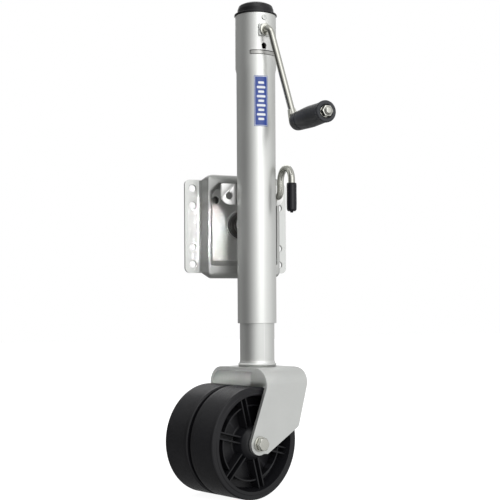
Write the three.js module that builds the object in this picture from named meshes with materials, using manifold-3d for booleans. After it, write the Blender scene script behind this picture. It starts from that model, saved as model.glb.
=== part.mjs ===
// Swing-away trailer tongue jack with a side crank and a twin-wheel caster.
// Millimetres, +Z up. The origin is the point where the swivel's pivot axis (Y)
// crosses the mounting plane, +Y points at the trailer tongue and -Y at the crank.
import * as THREE from 'three';
import { mergeVertices } from 'three/addons/utils/BufferGeometryUtils.js';
import Module from 'manifold-3d';

const wasm = await Module();
wasm.setup();

// ---------------------------------------------------------------- dimensions
const GAP = 0.3;                 // air between pieces that touch
const SIDES = 32;                // facets round a tube
const FINE = 16;                 // facets round a rod or a small turned piece

const TUBE_Y = -80;              // tube axis, in front of the mounting plane
const TUBE_R = 28.575;           // outer tube, 2 1/4 inch
const WALL = 2.4;
const HEAD_R = 30;               // swaged head at the top of the outer tube
const TUBE_BOTTOM = -147.6;
const HEAD_BOTTOM = 223;
const HEAD_TOP = 303;
const SWAGE = 7;                 // height of the taper under the head
const INNER_R = 25.4;            // inner tube, 2 inch
const INNER_TOP = 222;
const INNER_BOTTOM = -208;

const CRANK_Z = 277;             // crank shaft above the pivot
const ROD_R = 4.76;              // 3/8 inch crank rod
const SHAFT_REAR = 35;           // shaft end behind the tube axis
const ARM_Y = -50;               // plane of the crank arm, from the tube axis
const ARM_LENGTH = 139.8;
const ARM_LEAN = THREE.MathUtils.degToRad(16.2);
const CRANK_BEND = 11;
const EYE_HALF = 3.4;            // half the thickness of the eye at the arm's end
const BOLT_R = 4;                // grip bolt shank
const GRIP_START = -56.6;        // grip ends, from the tube axis
const GRIP_END = -148.4;

const RIVET_Z = 295.6;           // rivet that holds the cap
const NUT_PIN_Z = 211;           // pins that hold the drive nut in the inner tube
const GEAR_PIN = 1.9;            // holes for the gear pins
const PLATE_Z = 245.2;           // middle of the thrust plate and of its slot
const PLATE_T = 4.8;
const SLOT_HALF = 19.7;
const SLOT_H = 6.6;
const SCREW_R = 7.5;
const SCREW_NECK_R = 6;
const SCREW_BOTTOM = -58;
const GEAR_TEETH = 10;
const GEAR_PITCH_R = 12;         // at the outer end of the teeth
const GEAR_FACE = 0.58;          // inner end of the teeth, as a share of the outer end

const BRACKET = {
  sheet: 4,
  flangeX: 84,
  flangeTop: 69,
  flangeBottom: -72,
  flangeCorner: 8,
  wallX: 60,
  frontTop: 75,
  frontBottom: -80.6,
  depth: 35,
  edge: 8,                       // rounding of the front edges
  floorY: -19,
  dishX: 55.5,                   // dish opening in the front plane
  dishZ: 63,
  floorX: 47,
  floorZ: 54.8,
  boltX: 71.6,
  boltZ: [-58.8, -33.2, 30, 55.6],
  boltR: 5.5,
};
const PIVOT_R = 10;
const INDEX_HOLE_R = 5.6;
const PIN_X = 37.7;              // lock pin from the pivot; the index holes repeat it every 90 degrees
const PIN_Z = 40;
const PIN_R = 5;
const PIN_TIP_Y = -36;
const PIN_RISE_Y = -83;
const PIN_HOOK_R = 19;
const PIN_HOOK_Z = 60.7;
const PIN_GRIP_R = 7.4;
const PIN_GRIP_Z = [15, 56];
const EAR_Y = 15;                // ear plate behind the tube axis
const EAR_T = 3.6;
const EAR_X = 50;
const EAR_Z = [27.3, 57.7];

const CASTER_TURN = THREE.MathUtils.degToRad(198.5);
const YOKE = {
  top: -211,
  sheet: 4.8,
  halfWidth: 61.5,
  bend: 24,
  back: -42.5,
  front: 38,
};
const AXLE_X = 52;               // caster trail
const AXLE_Z = -315.2;
const AXLE_R = 6;
const WHEEL_R = 79.5;
const WHEEL_GAP = 3.4;           // inner wheel face from the middle plane
const WHEEL_EDGE = 55.2;         // outer wheel hub face from the middle plane

// ---------------------------------------------------------------- materials
const paint = (color, roughness, metalness) => {
  return new THREE.MeshStandardMaterial({ color, roughness, metalness });
};
const ZINC = () => paint(0xb9bab4, 0.32, 0.9);
const BRIGHT = () => paint(0xcfd0cb, 0.2, 1);
const STEEL = () => paint(0x8d8e8a, 0.45, 1);
const BLACK = () => paint(0x1b1c1e, 0.55, 0);
const VINYL = () => paint(0x101013, 0.2, 0);
const WHEEL = () => paint(0x303134, 0.6, 0);
const BRONZE = () => paint(0x9c8652, 0.4, 0.9);
const NYLON = () => paint(0xd9d8cf, 0.5, 0);
const LABEL = () => paint(0x1f4fa0, 0.35, 0);

// ---------------------------------------------------------------- solids
function signedVolume(position, index) {
  const a = new THREE.Vector3();
  const b = new THREE.Vector3();
  const c = new THREE.Vector3();
  let volume = 0;
  for (let i = 0; i < index.count; i += 3) {
    a.fromBufferAttribute(position, index.getX(i));
    b.fromBufferAttribute(position, index.getX(i + 1));
    c.fromBufferAttribute(position, index.getX(i + 2));
    volume += a.dot(b.cross(c)) / 6;
  }
  return volume;
}

// A closed geometry as a solid, turned the right way out.
function solid(geometry) {
  let plain = geometry.clone();
  plain.deleteAttribute('normal');
  plain.deleteAttribute('uv');
  plain = mergeVertices(plain, 1e-4);
  const triVerts = new Uint32Array(plain.index.array);
  if (signedVolume(plain.attributes.position, plain.index) < 0) {
    triVerts.reverse();
  }
  const vertProperties = new Float32Array(plain.attributes.position.array);
  return new wasm.Manifold(new wasm.Mesh({ numProp: 3, vertProperties, triVerts }));
}

function node(name, shape, material) {
  const mesh = shape.getMesh();
  const geometry = new THREE.BufferGeometry();
  geometry.setAttribute('position', new THREE.BufferAttribute(new Float32Array(mesh.vertProperties), 3));
  geometry.setIndex(new THREE.BufferAttribute(new Uint32Array(mesh.triVerts), 1));
  geometry.computeVertexNormals();
  const result = new THREE.Mesh(geometry, material);
  result.name = name;
  return result;
}

const join = (first, ...others) => others.reduce((sum, next) => sum.add(next), first);
const cut = (first, ...others) => others.reduce((rest, next) => rest.subtract(next), first);

function box(x0, x1, y0, y1, z0, z1) {
  const geometry = new THREE.BoxGeometry(x1 - x0, y1 - y0, z1 - z0);
  geometry.translate((x0 + x1) / 2, (y0 + y1) / 2, (z0 + z1) / 2);
  return solid(geometry);
}

// A turned solid round Z. The profile is a closed loop of [radius, height],
// or starts and ends on the axis.
function turned(profile, sides = FINE) {
  const points = profile.map(([r, z]) => new THREE.Vector2(r, z));
  if (profile[0][0] > 0) {
    points.push(points[0].clone());
  }
  const geometry = new THREE.LatheGeometry(points, sides);
  geometry.rotateX(Math.PI / 2);
  return solid(geometry);
}

const disc = (r, z0, z1, sides = FINE) => turned([[0, z0], [r, z0], [r, z1], [0, z1]], sides);
const ring = (r0, r1, z0, z1, sides = FINE) => turned([[r0, z0], [r1, z0], [r1, z1], [r0, z1]], sides);
const hexagon = (acrossFlats, z0, z1) => disc(acrossFlats / Math.sqrt(3), z0, z1, 6);

// Turns a solid made round Z so that its axis is Y: height z goes to y = z.
const alongY = (shape) => shape.rotate([-90, 0, 0]).mirror([0, 0, 1]);
const onTube = (shape) => shape.translate([0, TUBE_Y, 0]);
const onShaft = (shape) => shape.translate([0, TUBE_Y, CRANK_Z]);

// A solid between equal-sized loops of Vector3, capped flat at both ends.
function loft(loops) {
  const count = loops[0].length;
  const vertices = loops.flat().flatMap((p) => [p.x, p.y, p.z]);
  const index = [];
  for (let ringNumber = 0; ringNumber < loops.length - 1; ringNumber += 1) {
    for (let i = 0; i < count; i += 1) {
      const a = ringNumber * count + i;
      const b = ringNumber * count + ((i + 1) % count);
      index.push(a, b, b + count, a, b + count, a + count);
    }
  }
  capLoop(loops[0], 0, true, index);
  capLoop(loops.at(-1), (loops.length - 1) * count, false, index);
  const geometry = new THREE.BufferGeometry();
  geometry.setAttribute('position', new THREE.Float32BufferAttribute(vertices, 3));
  geometry.setIndex(index);
  return solid(geometry);
}

function capLoop(loop, offset, reversed, index) {
  const normal = new THREE.Vector3();
  for (let i = 0; i < loop.length; i += 1) {
    normal.add(new THREE.Vector3().crossVectors(loop[i], loop[(i + 1) % loop.length]));
  }
  normal.normalize();
  const across = new THREE.Vector3(Math.abs(normal.x) < 0.9 ? 1 : 0, Math.abs(normal.x) < 0.9 ? 0 : 1, 0);
  across.addScaledVector(normal, -across.dot(normal)).normalize();
  const up = new THREE.Vector3().crossVectors(normal, across);
  const flat = loop.map((p) => new THREE.Vector2(p.dot(across), p.dot(up)));
  for (const [a, b, c] of THREE.ShapeUtils.triangulateShape(flat, [])) {
    index.push(...(reversed ? [a, c, b] : [a, b, c]).map((i) => i + offset));
  }
}

// A round bar along a list of Vector3.
function bar(path, radius, sides = 12) {
  const loops = [];
  let side = null;
  path.forEach((point, i) => {
    const before = path[Math.max(i - 1, 0)];
    const after = path[Math.min(i + 1, path.length - 1)];
    const tangent = new THREE.Vector3().subVectors(after, before).normalize();
    side = side ?? new THREE.Vector3(1, 0.2, 0.1);
    side.addScaledVector(tangent, -side.dot(tangent)).normalize();
    const other = new THREE.Vector3().crossVectors(tangent, side);
    loops.push(Array.from({ length: sides }, (_, k) => {
      const angle = (2 * Math.PI * k) / sides;
      return point.clone()
        .addScaledVector(side, radius * Math.cos(angle))
        .addScaledVector(other, radius * Math.sin(angle));
    }));
    side = side.clone();
  });
  return loft(loops);
}

// Points along straight runs joined by round bends.
function bent(corners, radius, steps = 6) {
  const path = [corners[0].clone()];
  for (let i = 1; i < corners.length - 1; i += 1) {
    const from = new THREE.Vector3().subVectors(corners[i - 1], corners[i]).normalize();
    const to = new THREE.Vector3().subVectors(corners[i + 1], corners[i]).normalize();
    const half = from.angleTo(to) / 2;
    const reach = radius / Math.tan(half);
    const middle = new THREE.Vector3().addVectors(from, to).normalize();
    const centre = corners[i].clone().addScaledVector(middle, radius / Math.sin(half));
    const start = corners[i].clone().addScaledVector(from, reach).sub(centre);
    const end = corners[i].clone().addScaledVector(to, reach).sub(centre);
    const axis = new THREE.Vector3().crossVectors(start, end).normalize();
    const sweep = start.angleTo(end);
    for (let k = 0; k <= steps; k += 1) {
      path.push(start.clone().applyAxisAngle(axis, (sweep * k) / steps).add(centre));
    }
  }
  path.push(corners.at(-1).clone());
  return path;
}

// A rounded rectangle in the XZ plane at height y, as a loop of Vector3.
function frameLoop(halfX, zLow, zHigh, radius, y, steps = 3) {
  const loop = [];
  const centres = [[1, zHigh], [-1, zHigh], [-1, zLow], [1, zLow]];
  centres.forEach(([sx, z], quarter) => {
    const cx = sx * (halfX - radius);
    const cz = z + (z === zHigh ? -radius : radius);
    for (let k = 0; k <= steps; k += 1) {
      const angle = (Math.PI / 2) * (quarter + k / steps);
      loop.push(new THREE.Vector3(cx + radius * Math.cos(angle), y, cz + radius * Math.sin(angle)));
    }
  });
  return loop;
}

// A flat outline of [u, v] points raised from low to high: plane 'xz' raises along Y, 'xy' along Z.
function plate(outline, low, high, plane) {
  const at = plane === 'xz'
    ? ([u, v], h) => new THREE.Vector3(u, h, v)
    : ([u, v], h) => new THREE.Vector3(u, v, h);
  return loft([low, high].map((h) => outline.map((p) => at(p, h))));
}

function arcPoints(cx, cy, radius, from, to, steps) {
  return Array.from({ length: steps + 1 }, (_, k) => {
    const angle = THREE.MathUtils.degToRad(from + ((to - from) * k) / steps);
    return [cx + radius * Math.cos(angle), cy + radius * Math.sin(angle)];
  });
}

// ---------------------------------------------------------------- mount bracket
// One index hole for the upright jack and one for each quarter turn to either side.
const indexHoles = [0, 1, 3].map((quarter) => {
  const angle = (quarter * Math.PI) / 2;
  return [
    PIN_X * Math.cos(angle) - PIN_Z * Math.sin(angle),
    PIN_X * Math.sin(angle) + PIN_Z * Math.cos(angle),
  ];
});

function dishLoop(share, grow, y) {
  const x = THREE.MathUtils.lerp(BRACKET.dishX, BRACKET.floorX, share) + grow;
  const z = THREE.MathUtils.lerp(BRACKET.dishZ, BRACKET.floorZ, share) + grow;
  const corner = [13, 9];
  const points = [
    [x, z - corner[1]], [x - corner[0], z], [corner[0] - x, z], [-x, z - corner[1]],
    [-x, corner[1] - z], [corner[0] - x, -z], [x - corner[0], -z], [x, corner[1] - z],
  ];
  return points.map(([px, pz]) => new THREE.Vector3(px, y, pz));
}

// Part of the dish, from just in front of the front plane to its floor.
function dish(grow, floorY) {
  const front = -BRACKET.depth;
  const slope = 1 / (BRACKET.floorY - front);
  const over = 2;
  return loft([
    dishLoop(-over * slope, grow, front - over),
    dishLoop((floorY - front) * slope, grow, floorY),
  ]);
}

function shell(inset) {
  const { wallX, flangeTop, flangeBottom, frontTop, frontBottom, depth, edge } = BRACKET;
  const stations = [[0, 0], [1 - edge / depth, 0], [1 - (0.3 * edge) / depth, 0.3], [1, 1]];
  const loops = stations.map(([share, roll]) => {
    const pull = inset + roll * (edge - inset * 0.5);
    const flare = Math.min(1, share / (1 - edge / depth));
    return frameLoop(
      wallX - pull,
      THREE.MathUtils.lerp(flangeBottom, frontBottom, flare) + pull,
      THREE.MathUtils.lerp(flangeTop, frontTop, flare) - pull,
      6,
      inset > 0 && share === 0 ? 1 : -share * (depth - inset),
    );
  });
  return loft(loops);
}

function mountBracket() {
  const b = BRACKET;
  const flange = loft([
    frameLoop(b.flangeX, b.flangeBottom, b.flangeTop, b.flangeCorner, 0),
    frameLoop(b.flangeX, b.flangeBottom, b.flangeTop, b.flangeCorner, -b.sheet),
  ]);
  const hollow = cut(shell(b.sheet), dish(b.sheet, b.floorY + b.sheet));
  let body = cut(join(flange, shell(0)), hollow, dish(0, b.floorY));
  const hole = (x, z, r, y0, y1) => alongY(disc(r, y0, y1, 14)).translate([x, 0, z]);
  for (const z of b.boltZ) {
    body = cut(body, hole(b.boltX, z, b.boltR, -9, 2), hole(-b.boltX, z, b.boltR, -9, 2));
  }
  for (const [x, z] of indexHoles) {
    body = cut(body, hole(x, z, INDEX_HOLE_R, b.floorY - 3, b.floorY + 8));
  }
  return cut(body, alongY(disc(16, b.floorY - 3, b.floorY + 8, 24)));
}

// Closes the back of the pressed bracket behind the pivot nut.
function backPlate() {
  const b = BRACKET;
  const gap = b.sheet + GAP;
  const loop = (y) => frameLoop(b.wallX - gap, b.flangeBottom + gap, b.flangeTop - gap, 5, y);
  return loft([loop(-2.7), loop(-GAP)]);
}

function pivotPieces() {
  const floor = BRACKET.floorY;
  const back = floor + BRACKET.sheet;
  const bushing = alongY(turned([
    [PIVOT_R + GAP, floor - 3], [20.5, floor - 3], [20.5, floor - GAP], [15.7, floor - GAP],
    [15.7, back], [PIVOT_R + GAP, back],
  ], 24));
  const waveWasher = alongY(ring(PIVOT_R + GAP, 17, floor - 5, floor - 3 - GAP, 24));
  const post = alongY(turned([
    [0, -43.7], [15, -43.7], [15, -39.7], [13, -37], [13, floor - 5 - GAP],
    [PIVOT_R, floor - 5 - GAP], [PIVOT_R, -4.5], [PIVOT_R - 1.5, -3], [0, -3],
  ], 24));
  const washer = alongY(ring(PIVOT_R + GAP, 19, back + GAP, back + 2.8, 24));
  const nut = cut(hexagon(24, back + 3.1, back + 9.5), disc(PIVOT_R + GAP, 0, -30, 16));
  return [
    node('pivot_bushing', bushing, STEEL()),
    node('pivot_wave_washer', waveWasher, BRIGHT()),
    node('pivot_post', post, STEEL()),
    node('pivot_washer', washer, BRIGHT()),
    node('pivot_nut', alongY(nut), BRIGHT()),
  ];
}

// ---------------------------------------------------------------- tubes and head
function outerTube() {
  const low = HEAD_BOTTOM - SWAGE / 2;
  const high = HEAD_BOTTOM + SWAGE / 2;
  const tube = turned([
    [TUBE_R - WALL, TUBE_BOTTOM], [TUBE_R, TUBE_BOTTOM], [TUBE_R, low], [HEAD_R, high],
    [HEAD_R, HEAD_TOP], [HEAD_R - WALL, HEAD_TOP], [HEAD_R - WALL, high], [TUBE_R - WALL, low],
  ], SIDES);
  const shaftHole = alongY(disc(8, -40, 40)).translate([0, 0, CRANK_Z]);
  const slot = box(-SLOT_HALF, SLOT_HALF, -40, -10, PLATE_Z - SLOT_H / 2, PLATE_Z + SLOT_H / 2);
  const peep = join(
    alongY(disc(3.35, -40, -20)).translate([0, 0, 255]),
    box(-3.35, 3.35, -40, -20, 250.3, 255),
  );
  const rivetHole = alongY(disc(2.6, -40, -20, 12)).translate([0, 0, RIVET_Z]);
  return onTube(cut(tube, shaftHole, slot, peep, rivetHole));
}

function innerTube() {
  const tube = ring(INNER_R - WALL, INNER_R, INNER_BOTTOM, INNER_TOP, SIDES);
  const pinHole = alongY(disc(2.2, -40, 40, 8)).translate([0, 0, NUT_PIN_Z]);
  return onTube(cut(tube, pinHole));
}

function headPieces() {
  const rim = HEAD_R - WALL - GAP;
  const cap = turned([
    [0, 300], [rim - 1.6, 300], [rim - 1.6, 291], [rim, 291], [rim, HEAD_TOP + GAP],
    [31.35, HEAD_TOP + GAP], [31.35, 305.4], [26.8, 306.4], [26.4, 312], [24.6, 317],
    [20, 320.4], [10, 321.9], [0, 322.2],
  ], 28);
  const capHole = alongY(disc(2.6, -40, -22, 12)).translate([0, 0, RIVET_Z]);
  const plateTop = PLATE_Z + PLATE_T / 2;
  const plateLow = PLATE_Z - PLATE_T / 2;
  const tongue = disc(HEAD_R - 0.4, plateLow, plateTop, SIDES).intersect(
    box(-SLOT_HALF + GAP, SLOT_HALF - GAP, -40, -10, plateLow - 1, plateTop + 1),
  );
  const thrustPlate = cut(
    join(disc(HEAD_R - WALL - GAP, plateLow, plateTop, SIDES), tongue),
    disc(SCREW_R + 0.5, plateLow - 1, plateTop + 1),
  );
  const rivet = alongY(turned([
    [0, -22], [2.3, -22], [2.3, -30.5], [3.9, -30.5], [3.4, -31.6], [0, -32.2],
  ], 16)).translate([0, 0, RIVET_Z]);
  const half = 8.9;
  const flange = frameLoop(half, -half, half, 2, -33);
  const rear = frameLoop(half, -half, half, 2, -HEAD_R - GAP);
  const frontBushing = cut(
    join(loft([flange, rear]), alongY(disc(7.6, -HEAD_R - 1, -24.5))),
    alongY(disc(ROD_R + GAP, -40, -20)),
    alongY(disc(6.5, -40, -31.5)),
  ).translate([0, 0, CRANK_Z]);
  const rearBushing = alongY(turned([
    [ROD_R + GAP, 24.5], [7.6, 24.5], [7.6, HEAD_R + GAP], [9.5, HEAD_R + GAP],
    [9.5, 31.8], [ROD_R + GAP, 31.8],
  ])).translate([0, 0, CRANK_Z]);
  return [
    node('top_cap', onTube(cut(cap, capHole)), BLACK()),
    node('cap_rivet', onTube(rivet), BRIGHT()),
    node('thrust_plate', onTube(thrustPlate), STEEL()),
    node('front_crank_bushing', onTube(frontBushing), BRIGHT()),
    node('rear_crank_bushing', onTube(rearBushing), BRONZE()),
    node('label_plate', labelPlate(), LABEL()),
  ];
}

function labelPlate() {
  const low = 138;
  const high = 211.2;
  const centre = -98.5;
  const half = 20.9;
  const outline = [
    ...arcPoints(0, 0, TUBE_R + 0.6, centre - half, centre + half, 8),
    ...arcPoints(0, 0, TUBE_R + 0.2, centre + half, centre - half, 8),
  ];
  return onTube(plate(outline, low, high, 'xy'));
}

// ---------------------------------------------------------------- swivel bracket
function swivelBracket() {
  const inner = TUBE_R + GAP;
  const outer = inner + EAR_T;
  const start = 52;
  const outline = [
    ...arcPoints(0, 0, inner, start, 180 - start, 12),
    ...arcPoints(0, 0, outer, 180 - start, start, 12),
  ];
  const saddle = plate(outline, -52, EAR_Z[1], 'xy');
  // The sheet steps back from each ear to the saddle, clear of the tube.
  const step = [
    [29.85, 16.3], [27.35, 13.7],
    ...arcPoints(0, 0, inner, 48, 56, 2), ...arcPoints(0, 0, outer, 56, 48, 2),
  ];
  const mirroredStep = step.map(([x, y]) => [-x, y]).reverse();
  const steps = [step, mirroredStep].map((side) => plate(side, ...EAR_Z, 'xy'));
  const round = 13;
  const ear = [
    [27.4, EAR_Z[0]],
    ...arcPoints(EAR_X - round, EAR_Z[0] + round, round, -90, 0, 6),
    [EAR_X, EAR_Z[1] - 2], [EAR_X - 2, EAR_Z[1]], [27.4, EAR_Z[1]],
  ];
  const mirrored = ear.map(([x, z]) => [-x, z]).reverse();
  const ears = [ear, mirrored].map((side) => plate(side, EAR_Y - EAR_T / 2, EAR_Y + EAR_T / 2, 'xz'));
  const boss = alongY(disc(17, 29.4, 36, 28));
  const clearTube = disc(inner, -60, 60, SIDES);
  const pinHole = (x) => alongY(disc(PIN_R + 0.5, 5, 25)).translate([x, 0, PIN_Z]);
  return onTube(cut(join(saddle, ...steps, ...ears, boss), clearTube, pinHole(PIN_X), pinHole(-PIN_X)));
}

// ---------------------------------------------------------------- bevel gears and screw
// A bevel gear with its apex at the origin and its body below, at negative Z.
function bevelGear(boreR, hubR, hubEnd, turn) {
  const root = 1.9;
  const tip = 1.4;
  const reach = GEAR_PITCH_R * Math.SQRT2;
  const at = (share, height) => {
    const along = (reach / Math.SQRT2) * share;
    const across = (height * share) / Math.SQRT2;
    return [along + across, -(along - across)];
  };
  const back = -GEAR_PITCH_R - root;
  const body = turned([
    [boreR, at(GEAR_FACE, -root)[1]], at(GEAR_FACE, -root), at(1, -root),
    [at(1, -root)[0] - 1, back - 1], [hubR, back - 1], [hubR, hubEnd], [boreR, hubEnd],
  ], 20);
  const teeth = [];
  for (let i = 0; i < GEAR_TEETH; i += 1) {
    const angle = turn + (2 * Math.PI * i) / GEAR_TEETH;
    const loops = [GEAR_FACE, 1].map((share) => toothLoop(at, share, root, tip));
    const tooth = loft(loops).rotate([0, 0, THREE.MathUtils.radToDeg(angle)]);
    teeth.push(tooth);
  }
  return join(body, ...teeth);
}

function toothLoop(at, share, root, tip) {
  const [rootR, rootZ] = at(share, -root - 0.4);
  const [tipR, tipZ] = at(share, tip);
  const low = 1.9 * share;
  const high = 0.75 * share;
  return [
    new THREE.Vector3(rootR, -low, rootZ), new THREE.Vector3(tipR, -high, tipZ),
    new THREE.Vector3(tipR, high, tipZ), new THREE.Vector3(rootR, low, rootZ),
  ];
}

function gearPieces() {
  const step = Math.PI / GEAR_TEETH;
  const meshAngle = -Math.PI / 2;
  const screwGear = cut(
    bevelGear(SCREW_NECK_R + GAP, 10, -22.3, meshAngle + step).translate([0, 0, CRANK_Z]),
    alongY(disc(GEAR_PIN, -15, 15, 10)).translate([0, 0, CRANK_Z - 19]),
  );
  const crankGear = cut(
    bevelGear(ROD_R + GAP, 8.5, -23.5, meshAngle),
    alongY(disc(GEAR_PIN, -15, 15, 10)).translate([0, 0, -20]),
  );
  const crossPin = (radius, length) => alongY(disc(radius, -length, length, 10));
  const facing = (shape) => onShaft(shape.rotate([-90, 0, 0]));
  return {
    screw: [
      node('screw_gear', onTube(screwGear), STEEL()),
      node('screw_gear_pin', onTube(crossPin(1.5, 9.6).translate([0, 0, CRANK_Z - 19])), BRIGHT()),
    ],
    crank: [
      node('crank_gear', facing(crankGear), STEEL()),
      node('crank_gear_pin', facing(crossPin(1.5, 8.2).translate([0, 0, -20])), BRIGHT()),
    ],
  };
}

function screwPieces() {
  const plateTop = PLATE_Z + PLATE_T / 2;
  const screw = cut(turned([
    [0, SCREW_BOTTOM], [SCREW_R - 2, SCREW_BOTTOM], [SCREW_R, SCREW_BOTTOM + 2], [SCREW_R, plateTop + 6.4],
    [SCREW_NECK_R, plateTop + 6.4], [SCREW_NECK_R, 270], [0, 270],
  ]), alongY(disc(GEAR_PIN, -15, 15, 10)).translate([0, 0, CRANK_Z - 19]));
  const race = (z) => onTube(ring(SCREW_R + 0.6, 16.5, z, z + 1.5, 20));
  let cage = ring(9.6, 15.4, plateTop + 2.7, plateTop + 3.9, 16);
  const balls = 8;
  for (let i = 0; i < balls; i += 1) {
    const ball = new THREE.SphereGeometry(1.25, 6, 4);
    const angle = (2 * Math.PI * i) / balls;
    ball.translate(12.5 * Math.cos(angle), 12.5 * Math.sin(angle), plateTop + 3.3);
    cage = join(cage, solid(ball));
  }
  const nut = cut(
    turned([
      [SCREW_R + GAP, 203], [INNER_R - WALL - GAP, 203], [INNER_R - WALL - GAP, 219],
      [14, 219], [14, 221.5], [SCREW_R + GAP, 221.5],
    ], SIDES),
    alongY(disc(2.2, -40, -14, 8)).translate([0, 0, NUT_PIN_Z]),
    alongY(disc(2.2, 14, 40, 8)).translate([0, 0, NUT_PIN_Z]),
  );
  const pin = alongY(disc(1.9, 14.4, INNER_R - 0.2, 8)).translate([0, 0, NUT_PIN_Z]);
  const nutPin = (side) => pin.scale([1, side, 1]);
  return {
    turning: [
      node('drive_screw', onTube(screw), STEEL()),
      node('thrust_ball_cage', onTube(cage), BRIGHT()),
      node('thrust_race_upper', race(plateTop + 4.85), BRIGHT()),
    ],
    fixed: [node('thrust_race_lower', race(plateTop + GAP), BRIGHT())],
    lifting: [
      node('drive_nut', onTube(nut), BRONZE()),
      node('nut_pin_front', onTube(nutPin(-1)), BRIGHT()),
      node('nut_pin_rear', onTube(nutPin(1)), BRIGHT()),
    ],
  };
}

// ---------------------------------------------------------------- crank
function crankPieces() {
  const elbow = new THREE.Vector3(0, ARM_Y, 0);
  const down = new THREE.Vector3(Math.sin(ARM_LEAN), 0, -Math.cos(ARM_LEAN));
  const rodEnd = down.clone().multiplyScalar(ARM_LENGTH - 12).add(elbow);
  const knee = down.clone().multiplyScalar(ARM_LENGTH).add(elbow);
  const start = new THREE.Vector3(0, SHAFT_REAR, 0);
  const rod = bar(bent([start, elbow, rodEnd], CRANK_BEND, 5), ROD_R, 14);
  const onGrip = (shape) => alongY(shape).translate([knee.x, 0, knee.z]);
  const eye = plate([
    ...arcPoints(0, 0, 7.6, 180, 360, 7), [6.6, 10], [4.9, 17], [-4.9, 17], [-6.6, 10],
  ], ARM_Y - EYE_HALF, ARM_Y + EYE_HALF, 'xz')
    .rotate([0, -THREE.MathUtils.radToDeg(ARM_LEAN), 0])
    .translate([knee.x, 0, knee.z]);
  const gearPinHole = disc(GEAR_PIN, -15, 15, 8).translate([0, -20, 0]);
  const clipGroove = alongY(ring(ROD_R - 0.9, ROD_R + 2, 32.1, 33.7));
  const crank = cut(join(rod, eye), gearPinHole, clipGroove, onGrip(disc(BOLT_R + GAP, -60, -40)));
  const clip = alongY(ring(ROD_R - 0.6, 8.6, 32.3, 33.5));
  const stop = alongY(ring(ROD_R + GAP, 8.4, -36.6, -33.4));
  const innerWasher = onGrip(ring(BOLT_R + GAP, 9, GRIP_START + GAP, ARM_Y - EYE_HALF - GAP));
  const floor = GRIP_END + 5;
  const grip = onGrip(turned([
    [BOLT_R + GAP, GRIP_START], [BOLT_R + GAP, floor], [9.4, floor], [9.4, GRIP_END],
    [13.3, GRIP_END], [14.2, GRIP_END + 1.5], [14.2, GRIP_END + 5.5], [13.2, GRIP_END + 7.5],
    [14.6, GRIP_END + 26], [15.2, GRIP_END + 46], [14, GRIP_END + 73],
    [13, GRIP_START - 2], [12.2, GRIP_START],
  ], 24));
  const washer = onGrip(ring(BOLT_R + GAP, 8, floor - 2, floor - GAP));
  const bolt = onGrip(join(
    disc(BOLT_R, floor - 6, ARM_Y + EYE_HALF),
    hexagon(13, floor - 8.5, floor - 2 - GAP),
    turned([[0, floor - 12.5], [4, floor - 11.8], [6.4, floor - 8.5], [6.4, floor - 8], [0, floor - 8]]),
  ));
  return {
    crank: [
      node('crank_handle', onShaft(crank), BRIGHT()),
      node('shaft_clip', onShaft(clip), BRIGHT()),
      node('shaft_stop_collar', onShaft(stop), BRIGHT()),
      node('grip_washer_inner', onShaft(innerWasher), BRIGHT()),
      node('grip_washer_outer', onShaft(washer), BRIGHT()),
      node('grip_bolt', onShaft(bolt), BRIGHT()),
    ],
    grip: [node('crank_grip', onShaft(grip), BLACK())],
  };
}

// ---------------------------------------------------------------- lock pin
function lockPinPieces() {
  const far = PIN_RISE_Y - 2 * PIN_HOOK_R;
  const hook = arcPoints(PIN_RISE_Y - PIN_HOOK_R, PIN_HOOK_Z, PIN_HOOK_R, 15, 180, 9);
  const elbow = bent([
    new THREE.Vector3(PIN_X, PIN_TIP_Y, PIN_Z),
    new THREE.Vector3(PIN_X, PIN_RISE_Y, PIN_Z),
    new THREE.Vector3(PIN_X, PIN_RISE_Y, PIN_HOOK_Z + 1),
  ], 9, 5);
  const path = [
    ...elbow,
    ...hook.map(([y, z]) => new THREE.Vector3(PIN_X, y, z)),
    new THREE.Vector3(PIN_X, far, PIN_GRIP_Z[0] + 4),
  ];
  const clipGroove = alongY(ring(PIN_R - 1, PIN_R + 2, PIN_TIP_Y - 3.9, PIN_TIP_Y - 1.9, 18));
  const pin = cut(bar(path, PIN_R, 12), clipGroove.translate([PIN_X, 0, PIN_Z]));
  const clipRing = alongY(ring(PIN_R - 0.7, 9, PIN_TIP_Y - 3.7, PIN_TIP_Y - 2.1, 20));
  const clip = clipRing.translate([PIN_X, 0, PIN_Z]);
  const grip = turned([
    [0, PIN_GRIP_Z[0] - 2], [2.2, PIN_GRIP_Z[0] - 1.6], [2.4, PIN_GRIP_Z[0]], [6.4, PIN_GRIP_Z[0]],
    [PIN_GRIP_R, PIN_GRIP_Z[0] + 1.2], [PIN_GRIP_R, PIN_GRIP_Z[1] - 0.8], [6.6, PIN_GRIP_Z[1]],
    [PIN_R + GAP, PIN_GRIP_Z[1]], [PIN_R + GAP, PIN_GRIP_Z[0] + 3.6], [0, PIN_GRIP_Z[0] + 3.6],
  ]).translate([PIN_X, far, 0]);
  return [
    node('lock_pin', pin, BRIGHT()),
    node('lock_pin_clip', clip, BRIGHT()),
    node('lock_pin_grip', grip, VINYL()),
  ];
}

function lockPinSpring() {
  const wire = 0.85;
  const from = TUBE_Y + EAR_Y + EAR_T / 2 + GAP + wire;
  const to = PIN_TIP_Y - 3.9 - GAP - wire;
  const turns = 3.5;
  const perTurn = 8;
  const path = Array.from({ length: turns * perTurn + 1 }, (_, i) => {
    const angle = (2 * Math.PI * i) / perTurn;
    const y = THREE.MathUtils.lerp(from, to, i / (turns * perTurn));
    return new THREE.Vector3(PIN_X + 7.2 * Math.cos(angle), y, PIN_Z + 7.2 * Math.sin(angle));
  });
  return node('lock_pin_spring', bar(path, wire, 5), BRIGHT());
}

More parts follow.
